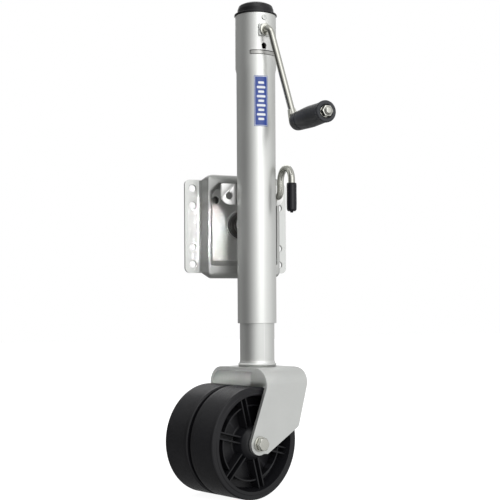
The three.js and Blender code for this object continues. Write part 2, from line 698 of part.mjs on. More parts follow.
// ---------------------------------------------------------------- caster
// Caster pieces are made with the axle along Y and the trail along +X, then turned into place.
const inCaster = (shape) => {
  return shape.rotate([0, 0, THREE.MathUtils.radToDeg(CASTER_TURN)]).translate([0, TUBE_Y, 0]);
};
const onAxle = (shape) => alongY(shape).translate([AXLE_X, 0, AXLE_Z]);

function arch(halfWidth, top, bend, low) {
  return [
    [halfWidth, low],
    ...arcPoints(halfWidth - bend, top - bend, bend, 0, 90, 6),
    ...arcPoints(bend - halfWidth, top - bend, bend, 90, 180, 6),
    [-halfWidth, low],
  ];
}

function yoke() {
  const { top, sheet, halfWidth, bend, back, front } = YOKE;
  const along = (outline, from, to) => loft(
    [from, to].map((x) => outline.map(([y, z]) => new THREE.Vector3(x, y, z))),
  );
  const channel = cut(
    along(arch(halfWidth, top, bend, -340), -60, 90),
    along(arch(halfWidth - sheet, top - sheet, bend - sheet, -345), -65, 95),
  );
  const arm = [
    [front, top + 1], [back + 6, top + 1], [back, top - 6], [back, -232],
    ...arcPoints(-18.6, -288.7, 8, 193, 242, 3),
    ...arcPoints(AXLE_X, AXLE_Z, 16, -118, 23, 9), [front, -237],
  ];
  const side = loft([-70, 70].map((y) => arm.map(([x, z]) => new THREE.Vector3(x, y, z))));
  // The sheet is bent down at the back too, and closes the fork above the wheels.
  const web = along(arch(halfWidth, top, bend, -246), back, back + sheet);
  return cut(
    join(channel, web).intersect(side),
    onAxle(disc(AXLE_R + GAP, -70, 70)),
    disc(8 + GAP, top - 10, top + 5),
  );
}

function wheel() {
  const tread = WHEEL_R;
  const shoulder = 1.8;
  const web = 3;
  const inner = WHEEL_GAP;
  const outer = WHEEL_EDGE - 2.2;
  const middle = (inner + outer) / 2;
  const dishR = 65.5;
  const hubR = 24;
  return turned([
    [9.3, inner], [hubR, inner], [hubR + 1, middle - web], [dishR - 1, middle - web], [dishR + 2, inner],
    [tread - shoulder, inner], [tread, inner + shoulder],
    [tread, outer - shoulder], [tread - shoulder, outer], [dishR + 2, outer],
    [dishR - 1, middle + web], [hubR + 1, middle + web], [hubR - 1, outer + 2.2], [9.3, outer + 2.2],
  ], 32);
}

function casterPieces() {
  const kingpin = turned([
    [0, -220.2], [13, -220.2], [13, -216.2], [8, -216.2], [8, -193], [13, -193], [11, -188.6], [0, -187.6],
  ]);
  const head = YOKE.halfWidth + GAP;
  const washers = [1, -1].map((side) => onAxle(ring(AXLE_R + GAP, 11, head, head + 2)).scale([1, side, 1]));
  const bolt = join(
    onAxle(disc(AXLE_R, -76, 66)),
    onAxle(hexagon(17, head + 2.3, head + 9.4)),
  );
  const nut = onAxle(cut(hexagon(17, -head - 12, -head - 2.3), disc(AXLE_R + GAP, -90, -50)));
  const spacer = onAxle(ring(AXLE_R + GAP, 10, GAP - WHEEL_GAP, WHEEL_GAP - GAP));
  const thinEdge = YOKE.halfWidth - YOKE.sheet - GAP;
  const thinWasher = onAxle(ring(AXLE_R + GAP, 14, WHEEL_EDGE + GAP, thinEdge));
  const thin = [1, -1].map((side) => thinWasher.scale([1, side, 1]));
  const names = ['near', 'far'];
  return {
    caster: [
      node('caster_yoke', inCaster(yoke()), ZINC()),
      node('kingpin', inCaster(kingpin), BRIGHT()),
      node('axle_bolt', inCaster(bolt), BRIGHT()),
      node('axle_nut', inCaster(nut), BRIGHT()),
      node('wheel_spacer', inCaster(spacer), STEEL()),
      ...names.map((name, i) => node(`axle_washer_${name}`, inCaster(washers[i]), BRIGHT())),
      ...names.map((name, i) => node(`wheel_washer_${name}`, inCaster(thin[i]), NYLON())),
    ],
    wheels: names.map((name, i) => {
      const side = 1 - 2 * i;
      const bushing = ring(AXLE_R + GAP, 9, WHEEL_GAP, WHEEL_EDGE);
      const place = (shape) => inCaster(onAxle(shape).scale([1, side, 1]));
      return [
        node(`wheel_${name}`, place(wheel()), WHEEL()),
        node(`wheel_bushing_${name}`, place(bushing), NYLON()),
      ];
    }),
  };
}

function swivelJointPieces() {
  const collar = turned([
    [INNER_R + GAP, INNER_BOTTOM + 4.2], [INNER_R + GAP, INNER_BOTTOM - 0.2],
    [28.6, INNER_BOTTOM - 0.2], [28.6, INNER_BOTTOM + 0.8], [26.4, INNER_BOTTOM + 4.2],
  ], SIDES);
  const floorPlate = ring(8 + GAP, INNER_R - WALL - GAP, -201.5, -195, SIDES);
  const race = ring(8.6, 27.9, YOKE.top + GAP, INNER_BOTTOM - 0.2 - GAP, SIDES);
  return {
    lifting: [
      node('swivel_collar', onTube(collar), ZINC()),
      node('swivel_floor_plate', onTube(floorPlate), STEEL()),
    ],
    caster: [node('swivel_race', onTube(race), STEEL())],
  };
}

// ---------------------------------------------------------------- assembly
function groupOf(...nodes) {
  const group = new THREE.Group();
  group.add(...nodes.flat());
  return group;
}

const gears = gearPieces();
const screw = screwPieces();
const crank = crankPieces();
const caster = casterPieces();
const swivel = swivelJointPieces();

const [pivotBushing, ...pivotOnJack] = pivotPieces();
const fixed = groupOf(
  node('mount_bracket', mountBracket(), ZINC()),
  node('bracket_back_plate', backPlate(), ZINC()),
  pivotBushing,
);
const jack = groupOf(
  node('outer_tube', outerTube(), ZINC()),
  node('swivel_bracket', swivelBracket(), ZINC()),
  pivotOnJack,
  headPieces(),
  screw.fixed,
  lockPinSpring(),
);
const crankGroup = groupOf(crank.crank, gears.crank);
const gripGroup = groupOf(crank.grip);
const screwGroup = groupOf(screw.turning, gears.screw);
const liftGroup = groupOf(node('inner_tube', innerTube(), ZINC()), screw.lifting, swivel.lifting);
const casterGroup = groupOf(caster.caster, swivel.caster);
const wheelGroups = caster.wheels.map((pieces) => groupOf(pieces));
const pinGroup = groupOf(lockPinPieces());

const group = groupOf(
  fixed, jack, crankGroup, gripGroup, screwGroup, liftGroup, casterGroup, wheelGroups, pinGroup,
);
group.name = 'trailer_tongue_jack';

export default group;
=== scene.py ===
# Looks of the trailer tongue jack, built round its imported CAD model. Lengths in this file are
# millimetres and become metres where a mesh is made.
import math

import bmesh
import bpy
from mathutils import Matrix, Vector


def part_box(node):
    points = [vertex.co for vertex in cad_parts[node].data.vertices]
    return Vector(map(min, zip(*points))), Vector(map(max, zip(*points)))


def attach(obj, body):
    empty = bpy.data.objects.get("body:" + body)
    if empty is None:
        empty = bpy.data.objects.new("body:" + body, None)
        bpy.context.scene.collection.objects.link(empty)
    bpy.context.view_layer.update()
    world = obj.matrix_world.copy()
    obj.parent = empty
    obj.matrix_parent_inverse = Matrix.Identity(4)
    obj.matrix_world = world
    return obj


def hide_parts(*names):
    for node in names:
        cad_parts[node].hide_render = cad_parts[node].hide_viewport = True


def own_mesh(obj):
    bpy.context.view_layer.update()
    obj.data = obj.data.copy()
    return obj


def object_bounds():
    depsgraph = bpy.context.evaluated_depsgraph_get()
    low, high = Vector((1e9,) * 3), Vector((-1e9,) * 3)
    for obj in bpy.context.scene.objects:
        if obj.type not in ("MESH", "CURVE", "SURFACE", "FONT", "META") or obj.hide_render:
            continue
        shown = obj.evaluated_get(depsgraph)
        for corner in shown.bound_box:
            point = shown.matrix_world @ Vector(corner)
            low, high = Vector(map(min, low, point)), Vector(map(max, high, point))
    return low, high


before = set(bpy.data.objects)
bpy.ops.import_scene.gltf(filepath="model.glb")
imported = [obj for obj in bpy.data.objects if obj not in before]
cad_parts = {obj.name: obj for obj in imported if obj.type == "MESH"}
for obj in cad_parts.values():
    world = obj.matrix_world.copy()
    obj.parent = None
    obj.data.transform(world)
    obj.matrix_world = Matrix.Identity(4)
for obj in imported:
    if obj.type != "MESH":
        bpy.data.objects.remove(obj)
cad_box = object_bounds()

MM = 0.001
TURN = 2 * math.pi
MERGE = 1e-7                                      # points this close, in metres, are one


def span(node):
    """Lowest and highest corner of a CAD node, in millimetres."""
    low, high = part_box(node)
    return low / MM, high / MM


def middle(node):
    low, high = span(node)
    return (low + high) / 2


def radius_of(node):
    low, high = span(node)
    return (high.x - low.x) / 2


# ------------------------------------------------------------------ dimensions
TUBE = middle("outer_tube")                       # x and y of the tube axis
HEAD_R = radius_of("outer_tube")
TUBE_R = HEAD_R - 1.425
INNER_R = radius_of("inner_tube")
TUBE_LOW, TUBE_TOP = span("outer_tube")[0].z, span("outer_tube")[1].z
WALL = 2.4
CRANK_Z = middle("shaft_stop_collar").z
PLATE_Z = middle("thrust_plate").z
SWAGE_Z = 223                                     # middle of the step below the wider head
SWAGE_HALF = 3.5
SLOT_HALF = 19.7                                  # half the width of the thrust plate's slot
GRIP = middle("crank_grip")
PIN = middle("lock_pin_clip")                     # lock pin axis, parallel to Y
PIN_R = 5
AXLE = (middle("axle_washer_near") + middle("axle_washer_far")) / 2
WHEEL_R = (span("wheel_near")[1].z - span("wheel_near")[0].z) / 2
CASTER_TURN = math.atan2(AXLE.y - TUBE.y, AXLE.x - TUBE.x)
TRAIL = math.hypot(AXLE.x - TUBE.x, AXLE.y - TUBE.y)
YOKE_TOP = span("caster_yoke")[1].z


# ------------------------------------------------------------------ mesh tools
def add_object(name, data):
    obj = bpy.data.objects.new(name, data)
    bpy.context.scene.collection.objects.link(obj)
    return obj


def piece(name, vertices, faces):
    """A mesh object from millimetre vertices, with its faces turned outwards."""
    mesh = bpy.data.meshes.new(name)
    mesh.from_pydata([tuple(c * MM for c in v) for v in vertices], [], faces)
    mesh.update()
    edit = bmesh.new()
    edit.from_mesh(mesh)
    bmesh.ops.remove_doubles(edit, verts=edit.verts, dist=MERGE)
    bmesh.ops.recalc_face_normals(edit, faces=edit.faces)
    edit.to_mesh(mesh)
    edit.free()
    return add_object(name, mesh)


def apply_modifiers(obj):
    graph = bpy.context.evaluated_depsgraph_get()
    mesh = bpy.data.meshes.new_from_object(obj.evaluated_get(graph))
    old = obj.data
    obj.modifiers.clear()
    obj.data = mesh
    bpy.data.meshes.remove(old)
    return obj


def smooth(obj, degrees=35):
    for face in obj.data.polygons:
        face.use_smooth = True
    obj.data.set_sharp_from_angle(angle=math.radians(degrees))
    return obj


def boolean(obj, others, operation="DIFFERENCE", mend=False):
    """Cuts, joins or trims obj with the others, which are used up. mend also clears obj's own overlaps."""
    for other in others:
        change = obj.modifiers.new("cut", "BOOLEAN")
        change.operation = operation
        change.solver = "EXACT"
        change.use_self = mend
        change.object = other
    apply_modifiers(obj)
    for other in others:
        bpy.data.objects.remove(other)
    return obj


def bevel(obj, width, segments=2, degrees=40):
    change = obj.modifiers.new("edge", "BEVEL")
    change.width = width * MM
    change.segments = segments
    change.limit_method = "ANGLE"
    change.angle_limit = math.radians(degrees)
    weigh = obj.modifiers.new("weigh", "WEIGHTED_NORMAL")
    weigh.keep_sharp = True
    weigh.weight = 80
    for face in obj.data.polygons:
        face.use_smooth = True
    return apply_modifiers(obj)


def place(obj, matrix):
    obj.data.transform(matrix)
    if matrix.determinant() < 0:
        obj.data.flip_normals()
    return obj


def shift(x, y, z):
    return Matrix.Translation(Vector((x, y, z)) * MM)


ALONG_Y = Matrix(((1, 0, 0, 0), (0, 0, 1, 0), (0, 1, 0, 0), (0, 0, 0, 1)))


def along_y(obj, x=0, z=0):
    """Lays what was made round Z along Y, through x and z."""
    return place(obj, shift(x, 0, z) @ ALONG_Y)


def upright(u, v, h):
    """The place of a point of an outline that lies flat and is raised along Z."""
    return u, v, h


def facing(u, v, h):
    """The place of a point of an outline that stands in X and Z and is raised along Y."""
    return u, h, v


def fillet(corners, steps=4):
    """A profile of (a, b) or (a, b, radius) corners, with an arc at each corner that has a radius."""
    points = []
    count = len(corners)
    for i, corner in enumerate(corners):
        radius = corner[2] if len(corner) > 2 else 0
        here = Vector(corner[:2])
        if not radius or i in (0, count - 1):
            points.append(tuple(here))
            continue
        before = Vector(corners[i - 1][:2]) - here
        after = Vector(corners[i + 1][:2]) - here
        half = before.angle(after) / 2
        reach = min(radius / math.tan(half), 0.49 * before.length, 0.49 * after.length)
        size = reach * math.tan(half)
        centre = here + (before.normalized() + after.normalized()).normalized() * (size / math.sin(half))
        start = here + before.normalized() * reach - centre
        end = here + after.normalized() * reach - centre
        sweep = start.angle_signed(end)
        for k in range(steps + 1):
            turn = Matrix.Rotation(-sweep * k / steps, 2)
            points.append(tuple(centre + turn @ start))
    return points


def lathe(name, profile, sides=96, fillets=3):
    """A solid turned round Z. The profile runs between two points on the axis, or is a closed loop."""
    closed = profile[0][0] > 0
    points = fillet(profile + [profile[0]], fillets)[:-1] if closed else fillet(profile, fillets)
    vertices, faces, rings = [], [], []
    for r, z in points:
        if r < MERGE:
            rings.append([len(vertices)])
            vertices.append((0, 0, z))
        else:
            rings.append(list(range(len(vertices), len(vertices) + sides)))
            angles = [TURN * i / sides for i in range(sides)]
            vertices += [(r * math.cos(angle), r * math.sin(angle), z) for angle in angles]
    pairs = list(zip(rings, rings[1:])) + ([(rings[-1], rings[0])] if closed else [])
    for a, b in pairs:
        for i in range(sides):
            j = (i + 1) % sides
            loop = [a[i % len(a)], a[j % len(a)], b[j % len(b)], b[i % len(b)]]
            unique = list(dict.fromkeys(loop))
            if len(unique) > 2:
                faces.append(unique)
    return piece(name, vertices, faces)


def disc(name, radius, low, high, sides=48):
    return lathe(name, [(0, low), (radius, low), (radius, high), (0, high)], sides)


def skin(name, loops, ends=()):
    """A sheet through equal-sized loops of points, closed across the loops numbered in ends."""
    count = len(loops[0])
    faces = []
    for k in range(len(loops) - 1):
        for i in range(count):
            j = (i + 1) % count
            faces.append((k * count + i, k * count + j, (k + 1) * count + j, (k + 1) * count + i))
    faces += [tuple(range(end * count, (end + 1) * count)) for end in ends]
    return piece(name, [p for loop in loops for p in loop], faces)


def loft(name, loops):
    """A closed solid through loops."""
    return skin(name, loops, (0, len(loops) - 1))


def rod(name, path, radius, sides=24):
    """A round bar along points. radius may be a function of the share of the length."""
    loops = []
    side = Vector((1, 0.21, 0.13))                # any direction that no bar runs along
    for i, point in enumerate(path):
        ahead = path[min(i + 1, len(path) - 1)] - path[max(i - 1, 0)]
        ahead.normalize()
        side = (side - ahead * side.dot(ahead)).normalized()
        other = ahead.cross(side)
        size = radius(i / (len(path) - 1)) if callable(radius) else radius
        angles = [TURN * k / sides for k in range(sides)]
        loops.append([tuple(point + side * (size * math.cos(a)) + other * (size * math.sin(a))) for a in angles])
    return loft(name, loops)


def bent(corners, radius, steps=10):
    """Points along straight runs joined by round bends."""
    path = [corners[0].copy()]
    for before, here, after in zip(corners, corners[1:], corners[2:]):
        back, on = (before - here).normalized(), (after - here).normalized()
        half = back.angle(on) / 2
        centre = here + (back + on).normalized() * (radius / math.sin(half))
        start = here + back * (radius / math.tan(half)) - centre
        end = here + on * (radius / math.tan(half)) - centre
        axis = start.cross(end).normalized()
        for k in range(steps + 1):
            path.append(centre + Matrix.Rotation(start.angle(end) * k / steps, 3, axis) @ start)
    path.append(corners[-1].copy())
    return path


def prism(name, outline, low, high, at):
    """A flat outline raised from low to high. at, such as upright or facing, places a point."""
    return loft(name, [[at(u, v, h) for u, v in outline] for h in (low, high)])


def block(name, x0, x1, y0, y1, z0, z1):
    outline = [(x0, y0), (x1, y0), (x1, y1), (x0, y1)]
    return prism(name, outline, z0, z1, upright)


def arc(cx, cy, radius, start, end, steps):
    return [
        (
            cx + radius * math.cos(math.radians(start + (end - start) * k / steps)),
            cy + radius * math.sin(math.radians(start + (end - start) * k / steps)),
        )
        for k in range(steps + 1)
    ]


def exact_normals(obj, normal_at, limit):
    """Gives faces within limit, a cosine, of the true normal that true one, so that cuts in them don't show."""
    mesh = obj.data
    normals = [tuple(c.vector) for c in mesh.corner_normals]
    for face in mesh.polygons:
        cosine = face.normal.dot(normal_at(face.center))
        if abs(cosine) < limit:
            continue
        for corner in face.loop_indices:
            at = mesh.vertices[mesh.loops[corner].vertex_index].co
            normals[corner] = tuple(normal_at(at) * (1 if cosine > 0 else -1))
    mesh.normals_split_custom_set(normals)
    return obj


def from_tube(at):
    """The direction away from the tube's axis."""
    return Vector((at.x - TUBE.x * MM, at.y - TUBE.y * MM, 0)).normalized()


# ------------------------------------------------------------------ materials
class Nodes:
    """A material's node tree, with short calls for the nodes used here."""

    def __init__(self, name):
        self.material = bpy.data.materials.new(name)
        self.material.use_nodes = True
        self.tree = self.material.node_tree
        self.shader = self.tree.nodes["Principled BSDF"]
        self.coordinates = self.tree.nodes.new("ShaderNodeTexCoord")

    def link(self, a, b):
        self.tree.links.new(a, b)

    def noise(self, scale, detail=3, stretch=None):
        node = self.tree.nodes.new("ShaderNodeTexNoise")
        node.inputs["Scale"].default_value = scale
        node.inputs["Detail"].default_value = detail
        source = self.coordinates.outputs["Object"]
        if stretch:
            mapping = self.tree.nodes.new("ShaderNodeMapping")
            mapping.inputs["Scale"].default_value = stretch
            self.link(source, mapping.inputs["Vector"])
            source = mapping.outputs["Vector"]
        self.link(source, node.inputs["Vector"])
        return node.outputs["Fac"]

    def between(self, source, low, high, start=0.3, end=0.7):
        """low where source is start or less, and high where it is end or more."""
        node = self.tree.nodes.new("ShaderNodeMapRange")
        node.inputs["From Min"].default_value = start
        node.inputs["From Max"].default_value = end
        node.inputs["To Min"].default_value = low
        node.inputs["To Max"].default_value = high
        self.link(source, node.inputs["Value"])
        return node.outputs["Result"]

    def mix(self, factor, a, b):
        node = self.tree.nodes.new("ShaderNodeMix")
        node.data_type = "RGBA"
        self.link(factor, node.inputs["Factor"])
        for socket, value in ((node.inputs[6], a), (node.inputs[7], b)):
            if isinstance(value, tuple):
                socket.default_value = (*value, 1)
            else:
                self.link(value, socket)
        return node.outputs[2]

    def bump(self, source, depth, strength=1.0):
        node = self.tree.nodes.new("ShaderNodeBump")
        node.inputs["Strength"].default_value = strength
        node.inputs["Distance"].default_value = depth * MM
        self.link(source, node.inputs["Height"])
        self.link(node.outputs["Normal"], self.shader.inputs["Normal"])

    def edges(self, low, high):
        """0 on flat stretches and 1 on outer edges."""
        geometry = self.tree.nodes.new("ShaderNodeNewGeometry")
        return self.between(geometry.outputs["Pointiness"], 0, 1, low, high)

    def set(self, **values):
        names = {"color": "Base Color", "metal": "Metallic", "rough": "Roughness", "coat": "Coat Weight",
                 "coat_rough": "Coat Roughness", "specular": "Specular IOR Level"}
        for key, value in values.items():
            socket = self.shader.inputs[names[key]]
            if isinstance(value, (int, float)):
                socket.default_value = value
            elif isinstance(value, tuple):
                socket.default_value = (*value, 1)
            else:
                self.link(value, socket)
        return self


def painted(m, colour):
    m.set(color=colour, metal=0.76, rough=m.between(m.noise(7, 2), 0.36, 0.41), coat=0.1, coat_rough=0.25)
    m.bump(m.noise(240, 2), 0.02, 0.2)
    return m.material


def silver_paint():
    """Silver paint with a fine flake, lighter along its edges as wear and as a painted highlight."""
    m = Nodes("silver_paint")
    base = m.mix(m.between(m.noise(7, 2), 0, 1), (0.64, 0.65, 0.63), (0.68, 0.69, 0.67))
    flaked = m.mix(m.between(m.noise(1500, 1), 0, 0.18, 0.45, 0.75), base, (0.78, 0.78, 0.77))
    # lighter edges: partly wear, partly a painted highlight where edges catch light
    return painted(m, m.mix(m.edges(0.54, 0.62), flaked, (0.76, 0.76, 0.75)))


def bracket_shaded_paint():
    """The bracket's greyer paint, a shaded copy of the silver paint, with painted shade that makes it darkest from
    12 mm in front of the mounting plane.
    """
    m = Nodes("bracket_shaded_paint")
    split = m.tree.nodes.new("ShaderNodeSeparateXYZ")
    m.link(m.coordinates.outputs["Object"], split.inputs[0])
    # painted shade: the dish and its walls in front of the mounting plane are darker than the flanges
    depth = m.between(split.outputs["Y"], 1, 0, -12 * MM, -4 * MM)
    return painted(m, m.mix(depth, (0.56, 0.57, 0.555), (0.38, 0.385, 0.375)))


def plated(name, light, dark, rough, streak, metal=1.0):
    m = Nodes(name)
    broad = m.noise(25, 3)
    fine = m.noise(300, 2, streak)
    base = m.mix(m.between(broad, 0, 1), dark, light)
    m.set(color=base, metal=metal, rough=m.between(fine, rough * 0.9, rough * 1.15))
    return m.material


def moulded(name, dark, light, rough, grain, gloss=0.5):
    m = Nodes(name)
    broad = m.noise(14, 3)
    fine = m.noise(grain, 3)
    base = m.mix(m.between(broad, 0, 1), dark, light)
    # lighter along edges
    lighter_edges = m.mix(m.edges(0.54, 0.64), base, tuple(min(1, c * 1.6 + 0.006) for c in light))
    m.set(color=lighter_edges, metal=0.0, rough=m.between(fine, rough * 0.85, rough * 1.15), specular=gloss)
    m.bump(fine, 0.05, 0.4)
    return m.material


MATERIALS = {
    "silver_paint": silver_paint(),
    "zinc_plate": plated("zinc_plate", (0.58, 0.59, 0.575), (0.55, 0.56, 0.545), 0.40, (1, 1, 1), 0.72),
    "bright_zinc": plated("bright_zinc", (0.52, 0.52, 0.48), (0.44, 0.44, 0.40), 0.2, (1, 1, 0.05)),
    "steel": plated("steel", (0.50, 0.50, 0.48), (0.38, 0.38, 0.37), 0.38, (1, 1, 0.1)),
    # dark_steel: greasy steel, made darker still as painted shade for the pivot in the tube's shadow
    "dark_steel": plated("dark_steel", (0.16, 0.16, 0.15), (0.09, 0.09, 0.09), 0.35, (1, 1, 1)),
    "spring_steel": plated("spring_steel", (0.58, 0.58, 0.57), (0.44, 0.44, 0.44), 0.25, (1, 1, 1)),
    "bronze": plated("bronze", (0.60, 0.47, 0.26), (0.46, 0.35, 0.19), 0.4, (1, 1, 1)),
    "black_plastic": moulded("black_plastic", (0.005, 0.005, 0.006), (0.008, 0.008, 0.009), 0.34, 900, 0.3),
    "grip_rubber": moulded("grip_rubber", (0.022, 0.024, 0.027), (0.034, 0.036, 0.041), 0.5, 1100, 0.35),
    "vinyl": moulded("vinyl", (0.006, 0.006, 0.009), (0.008, 0.008, 0.011), 0.12, 60, 0.3),
    "wheel_plastic": moulded("wheel_plastic", (0.006, 0.006, 0.007), (0.010, 0.010, 0.012), 0.40, 700, 0.25),
    "nylon": moulded("nylon", (0.62, 0.61, 0.56), (0.72, 0.71, 0.66), 0.45, 500),
    "label_face": moulded("label_face", (0.010, 0.030, 0.16), (0.014, 0.040, 0.20), 0.3, 800),
}


def white_print():
    m = Nodes("label_print")
    m.set(color=m.mix(m.between(m.noise(90, 2), 0, 1), (0.72, 0.75, 0.80), (0.84, 0.86, 0.90)), rough=0.35)
    return m.material


BRACKET_SHADED_PAINT = bracket_shaded_paint()


def finish(obj, slot, body, *nodes, look=None):
    """Gives a piece its slot's material or another look, and the CAD body that it rides on. It hides the nodes
    that the piece stands for."""
    obj.data.materials.clear()
    obj.data.materials.append(look or MATERIALS[slot])
    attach(obj, body)
    if nodes:
        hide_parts(*nodes)
    return obj


def on_tube(obj):
    return place(obj, shift(TUBE.x, TUBE.y, 0))


# ------------------------------------------------------------------ tubes and head
def outer_tube():
    low, high = SWAGE_Z - SWAGE_HALF, SWAGE_Z + SWAGE_HALF
    tube = lathe("outer_tube_shell", [
        (TUBE_R - WALL, TUBE_LOW, 0.6), (TUBE_R, TUBE_LOW, 0.8), (TUBE_R, low, 3), (HEAD_R, high, 3),
        (HEAD_R, TUBE_TOP, 0.6), (HEAD_R - WALL, TUBE_TOP, 0.4), (HEAD_R - WALL, high, 3),
        (TUBE_R - WALL, low, 3),
    ], 144, 4)
    shaft = along_y(disc("shaft_cut", 8, -40, 40), 0, CRANK_Z)
    half, slot_half, corner = SLOT_HALF, 3.3, 1.6
    outline = fillet([(-half, 0), (-half, -slot_half, corner), (half, -slot_half, corner), (half, slot_half, corner),
                      (-half, slot_half, corner), (-half, 0)])[:-1]
    slot = prism("slot_cut", outline, -40, -10, lambda u, v, h: (u, h, v + PLATE_Z))
    peep_outline = [(-2.9, 250.1), (2.9, 250.1)] + arc(0, 255, 3.8, -30, 210, 20)
    peep = prism("peep_cut", peep_outline, -40, -10, facing)
    rivet = along_y(disc("rivet_cut", 2.6, -40, -10, 24), 0, middle("cap_rivet").z)
    boolean(tube, [shaft, slot, peep, rivet])
    smooth(tube, 30)
    on_tube(tube)
    exact_normals(tube, from_tube, 0.95)
    finish(tube, "silver_paint", "jack_tube", "outer_tube")


def turned_up(name, profile, slot, body, node, sides=96, fillets=3, degrees=35):
    """A turned piece round the tube's axis."""
    finish(smooth(on_tube(lathe(name, profile, sides, fillets)), degrees), slot, body, node)


def inner_tube():
    low, high = span("inner_tube")
    turned_up("inner_tube_shell", [
        (INNER_R - WALL, low.z, 0.4), (INNER_R, low.z, 0.4), (INNER_R, high.z, 0.6), (INNER_R - WALL, high.z, 0.4),
    ], "silver_paint", "lift_tube", "inner_tube", 128)


def top_cap():
    low, high = span("top_cap")
    rim, brim = HEAD_R - WALL - 0.3, radius_of("top_cap")
    cap = lathe("top_cap_shell", [
        (0, low.z + 9), (rim - 1.6, low.z + 9), (rim - 1.6, low.z), (rim, low.z, 0.4), (rim, TUBE_TOP + 0.3),
        (brim, TUBE_TOP + 0.3, 0.5), (brim, TUBE_TOP + 2.6, 0.9), (27.0, TUBE_TOP + 3.4, 1.2),
        (26.5, TUBE_TOP + 9.5, 5), (24.6, TUBE_TOP + 15, 4), (18, high.z - 1, 6), (8, high.z - 0.1, 6), (0, high.z),
    ], 128, 6)
    boolean(cap, [along_y(disc("cap_cut", 2.6, -40, -22, 24), 0, middle("cap_rivet").z)])
    smooth(on_tube(cap), 40)
    finish(cap, "black_plastic", "jack_tube", "top_cap")


def cap_rivet():
    start = span("cap_rivet")[0].y - TUBE.y
    rivet = lathe("cap_rivet_head", [
        (0, start + 10.2), (2.3, start + 10.2), (2.3, start + 1.7), (3.9, start + 1.7, 0.4), (3.5, start + 0.5, 0.8),
        (1.6, start + 0.3, 0.4), (1.3, start + 0.9, 0.3), (0, start + 0.9),
    ], 48)
    place(rivet, shift(TUBE.x, TUBE.y, middle("cap_rivet").z) @ ALONG_Y)
    finish(smooth(rivet, 40), "zinc_plate", "jack_tube", "cap_rivet")


QUARTERS = ((1, 1), (-1, 1), (-1, -1), (1, -1))


def square_loop(half, corner, y, steps=6):
    loop = []
    for quarter, (sx, sz) in enumerate(QUARTERS):
        turn = arc(sx * (half - corner), sz * (half - corner), corner, 90 * quarter, 90 * quarter + 90, steps)
        loop += [(x, y, z) for x, z in turn]
    return loop


def front_bushing():
    half = radius_of("front_crank_bushing")
    front, back = span("front_crank_bushing")[0].y - TUBE.y, -HEAD_R - 0.3
    flange = loft("front_bushing_flange", [
        square_loop(half - 0.3, 2.0, back), square_loop(half, 2.2, back - 0.4), square_loop(half, 2.2, front + 0.8),
        square_loop(half - 0.3, 2.0, front + 0.2), square_loop(half - 0.9, 1.6, front),
    ])
    dish = loft("flange_dish", [
        square_loop(half - 1.7, 1.4, front - 1), square_loop(half - 1.9, 1.4, front + 0.2),
        square_loop(half - 2.5, 1.2, front + 0.8),
    ])
    sleeve_r, bore_r, mouth_r = 7.6, 5.06, 6.3
    sleeve = along_y(disc("sleeve", sleeve_r, -29.5, -24.5))
    collar = along_y(lathe("collar", [
        (0, -29), (sleeve_r, -29), (sleeve_r, front + 0.3, 0.4), (6.8, front + 0.1, 0.2), (6.6, front + 1.6),
        (0, front + 1.6),
    ], 48))
    bore = along_y(lathe("bore", [
        (0, -20), (bore_r, -20), (bore_r, front + 2.6), (mouth_r, front + 2.2), (mouth_r, -40), (0, -40),
    ], 64))
    boolean(flange, [dish])
    boolean(flange, [sleeve, collar], "UNION")
    boolean(flange, [bore])
    place(flange, shift(TUBE.x, TUBE.y, CRANK_Z))
    finish(smooth(flange, 30), "zinc_plate", "jack_tube", "front_crank_bushing")


def on_shell(name, centre, half, z0, z1, inner, outer, corner):
    """A thin patch that follows the tube: half its width is measured round the tube, with rounded corners."""
    steps = [0, 0.12, 0.35, 0.65, 1.0]            # shares of the way across a corner
    offsets = [corner * t for t in steps]
    flat = max(2, round((half - corner) / 1.2))
    offsets += [corner + (2 * half - 2 * corner) * k / flat for k in range(1, flat)]
    offsets += [2 * half - corner * t for t in reversed(steps)]
    loops = []
    for offset in offsets:
        near = min(offset, 2 * half - offset)
        cut = corner - math.sqrt(max(0, corner ** 2 - max(0, corner - near) ** 2)) if corner else 0
        angle = math.radians(centre) + (offset - half) / TUBE_R
        loops.append([
            (r * math.cos(angle), r * math.sin(angle), z)
            for r, z in ((inner, z0 + cut), (outer, z0 + cut), (outer, z1 - cut), (inner, z1 - cut))
        ])
    return exact_normals(on_tube(loft(name, loops)), from_tube, 0.8)


def label():
    """A plain blue label: a pale border and a column of plain pale bars, with no lettering."""
    low, high = span("label_plate")
    centre, reach = -98.5, 10.4
    skin_r = TUBE_R + 0.1
    plate = on_shell("label_sheet", centre, reach, low.z, high.z, skin_r, skin_r + 0.2, 1.0)
    finish(plate, "label_face", "jack_tube", "label_plate")
    white = white_print()

    def mark(name, turn, half, z0, z1, corner):
        made = on_shell(f"label_{name}", turn, half, z0, z1, skin_r + 0.1, skin_r + 0.3, corner)
        finish(made, "label_face", "jack_tube", look=white)

    inset, line = 0.8, 0.7
    foot, head = low.z + inset, high.z - inset
    rail = reach - inset - line / 2
    for side, z0, z1 in ((-1, foot, foot + line), (1, head - line, head)):
        mark(f"rail_{side}", centre + side * math.degrees(rail / TUBE_R), line / 2, foot, head, 0.1)
        mark(f"end_{side}", centre, rail, z0, z1, 0.1)
    bars, margin, bar_half = 9, 7, 1.7
    column = high.z - low.z - 2 * margin
    for i in range(bars):
        z = low.z + margin + column * (i + 0.5) / bars
        mark(f"bar_{i}", centre, reach * (0.62 if i % 2 else 0.42), z - bar_half, z + bar_half, 1.2)


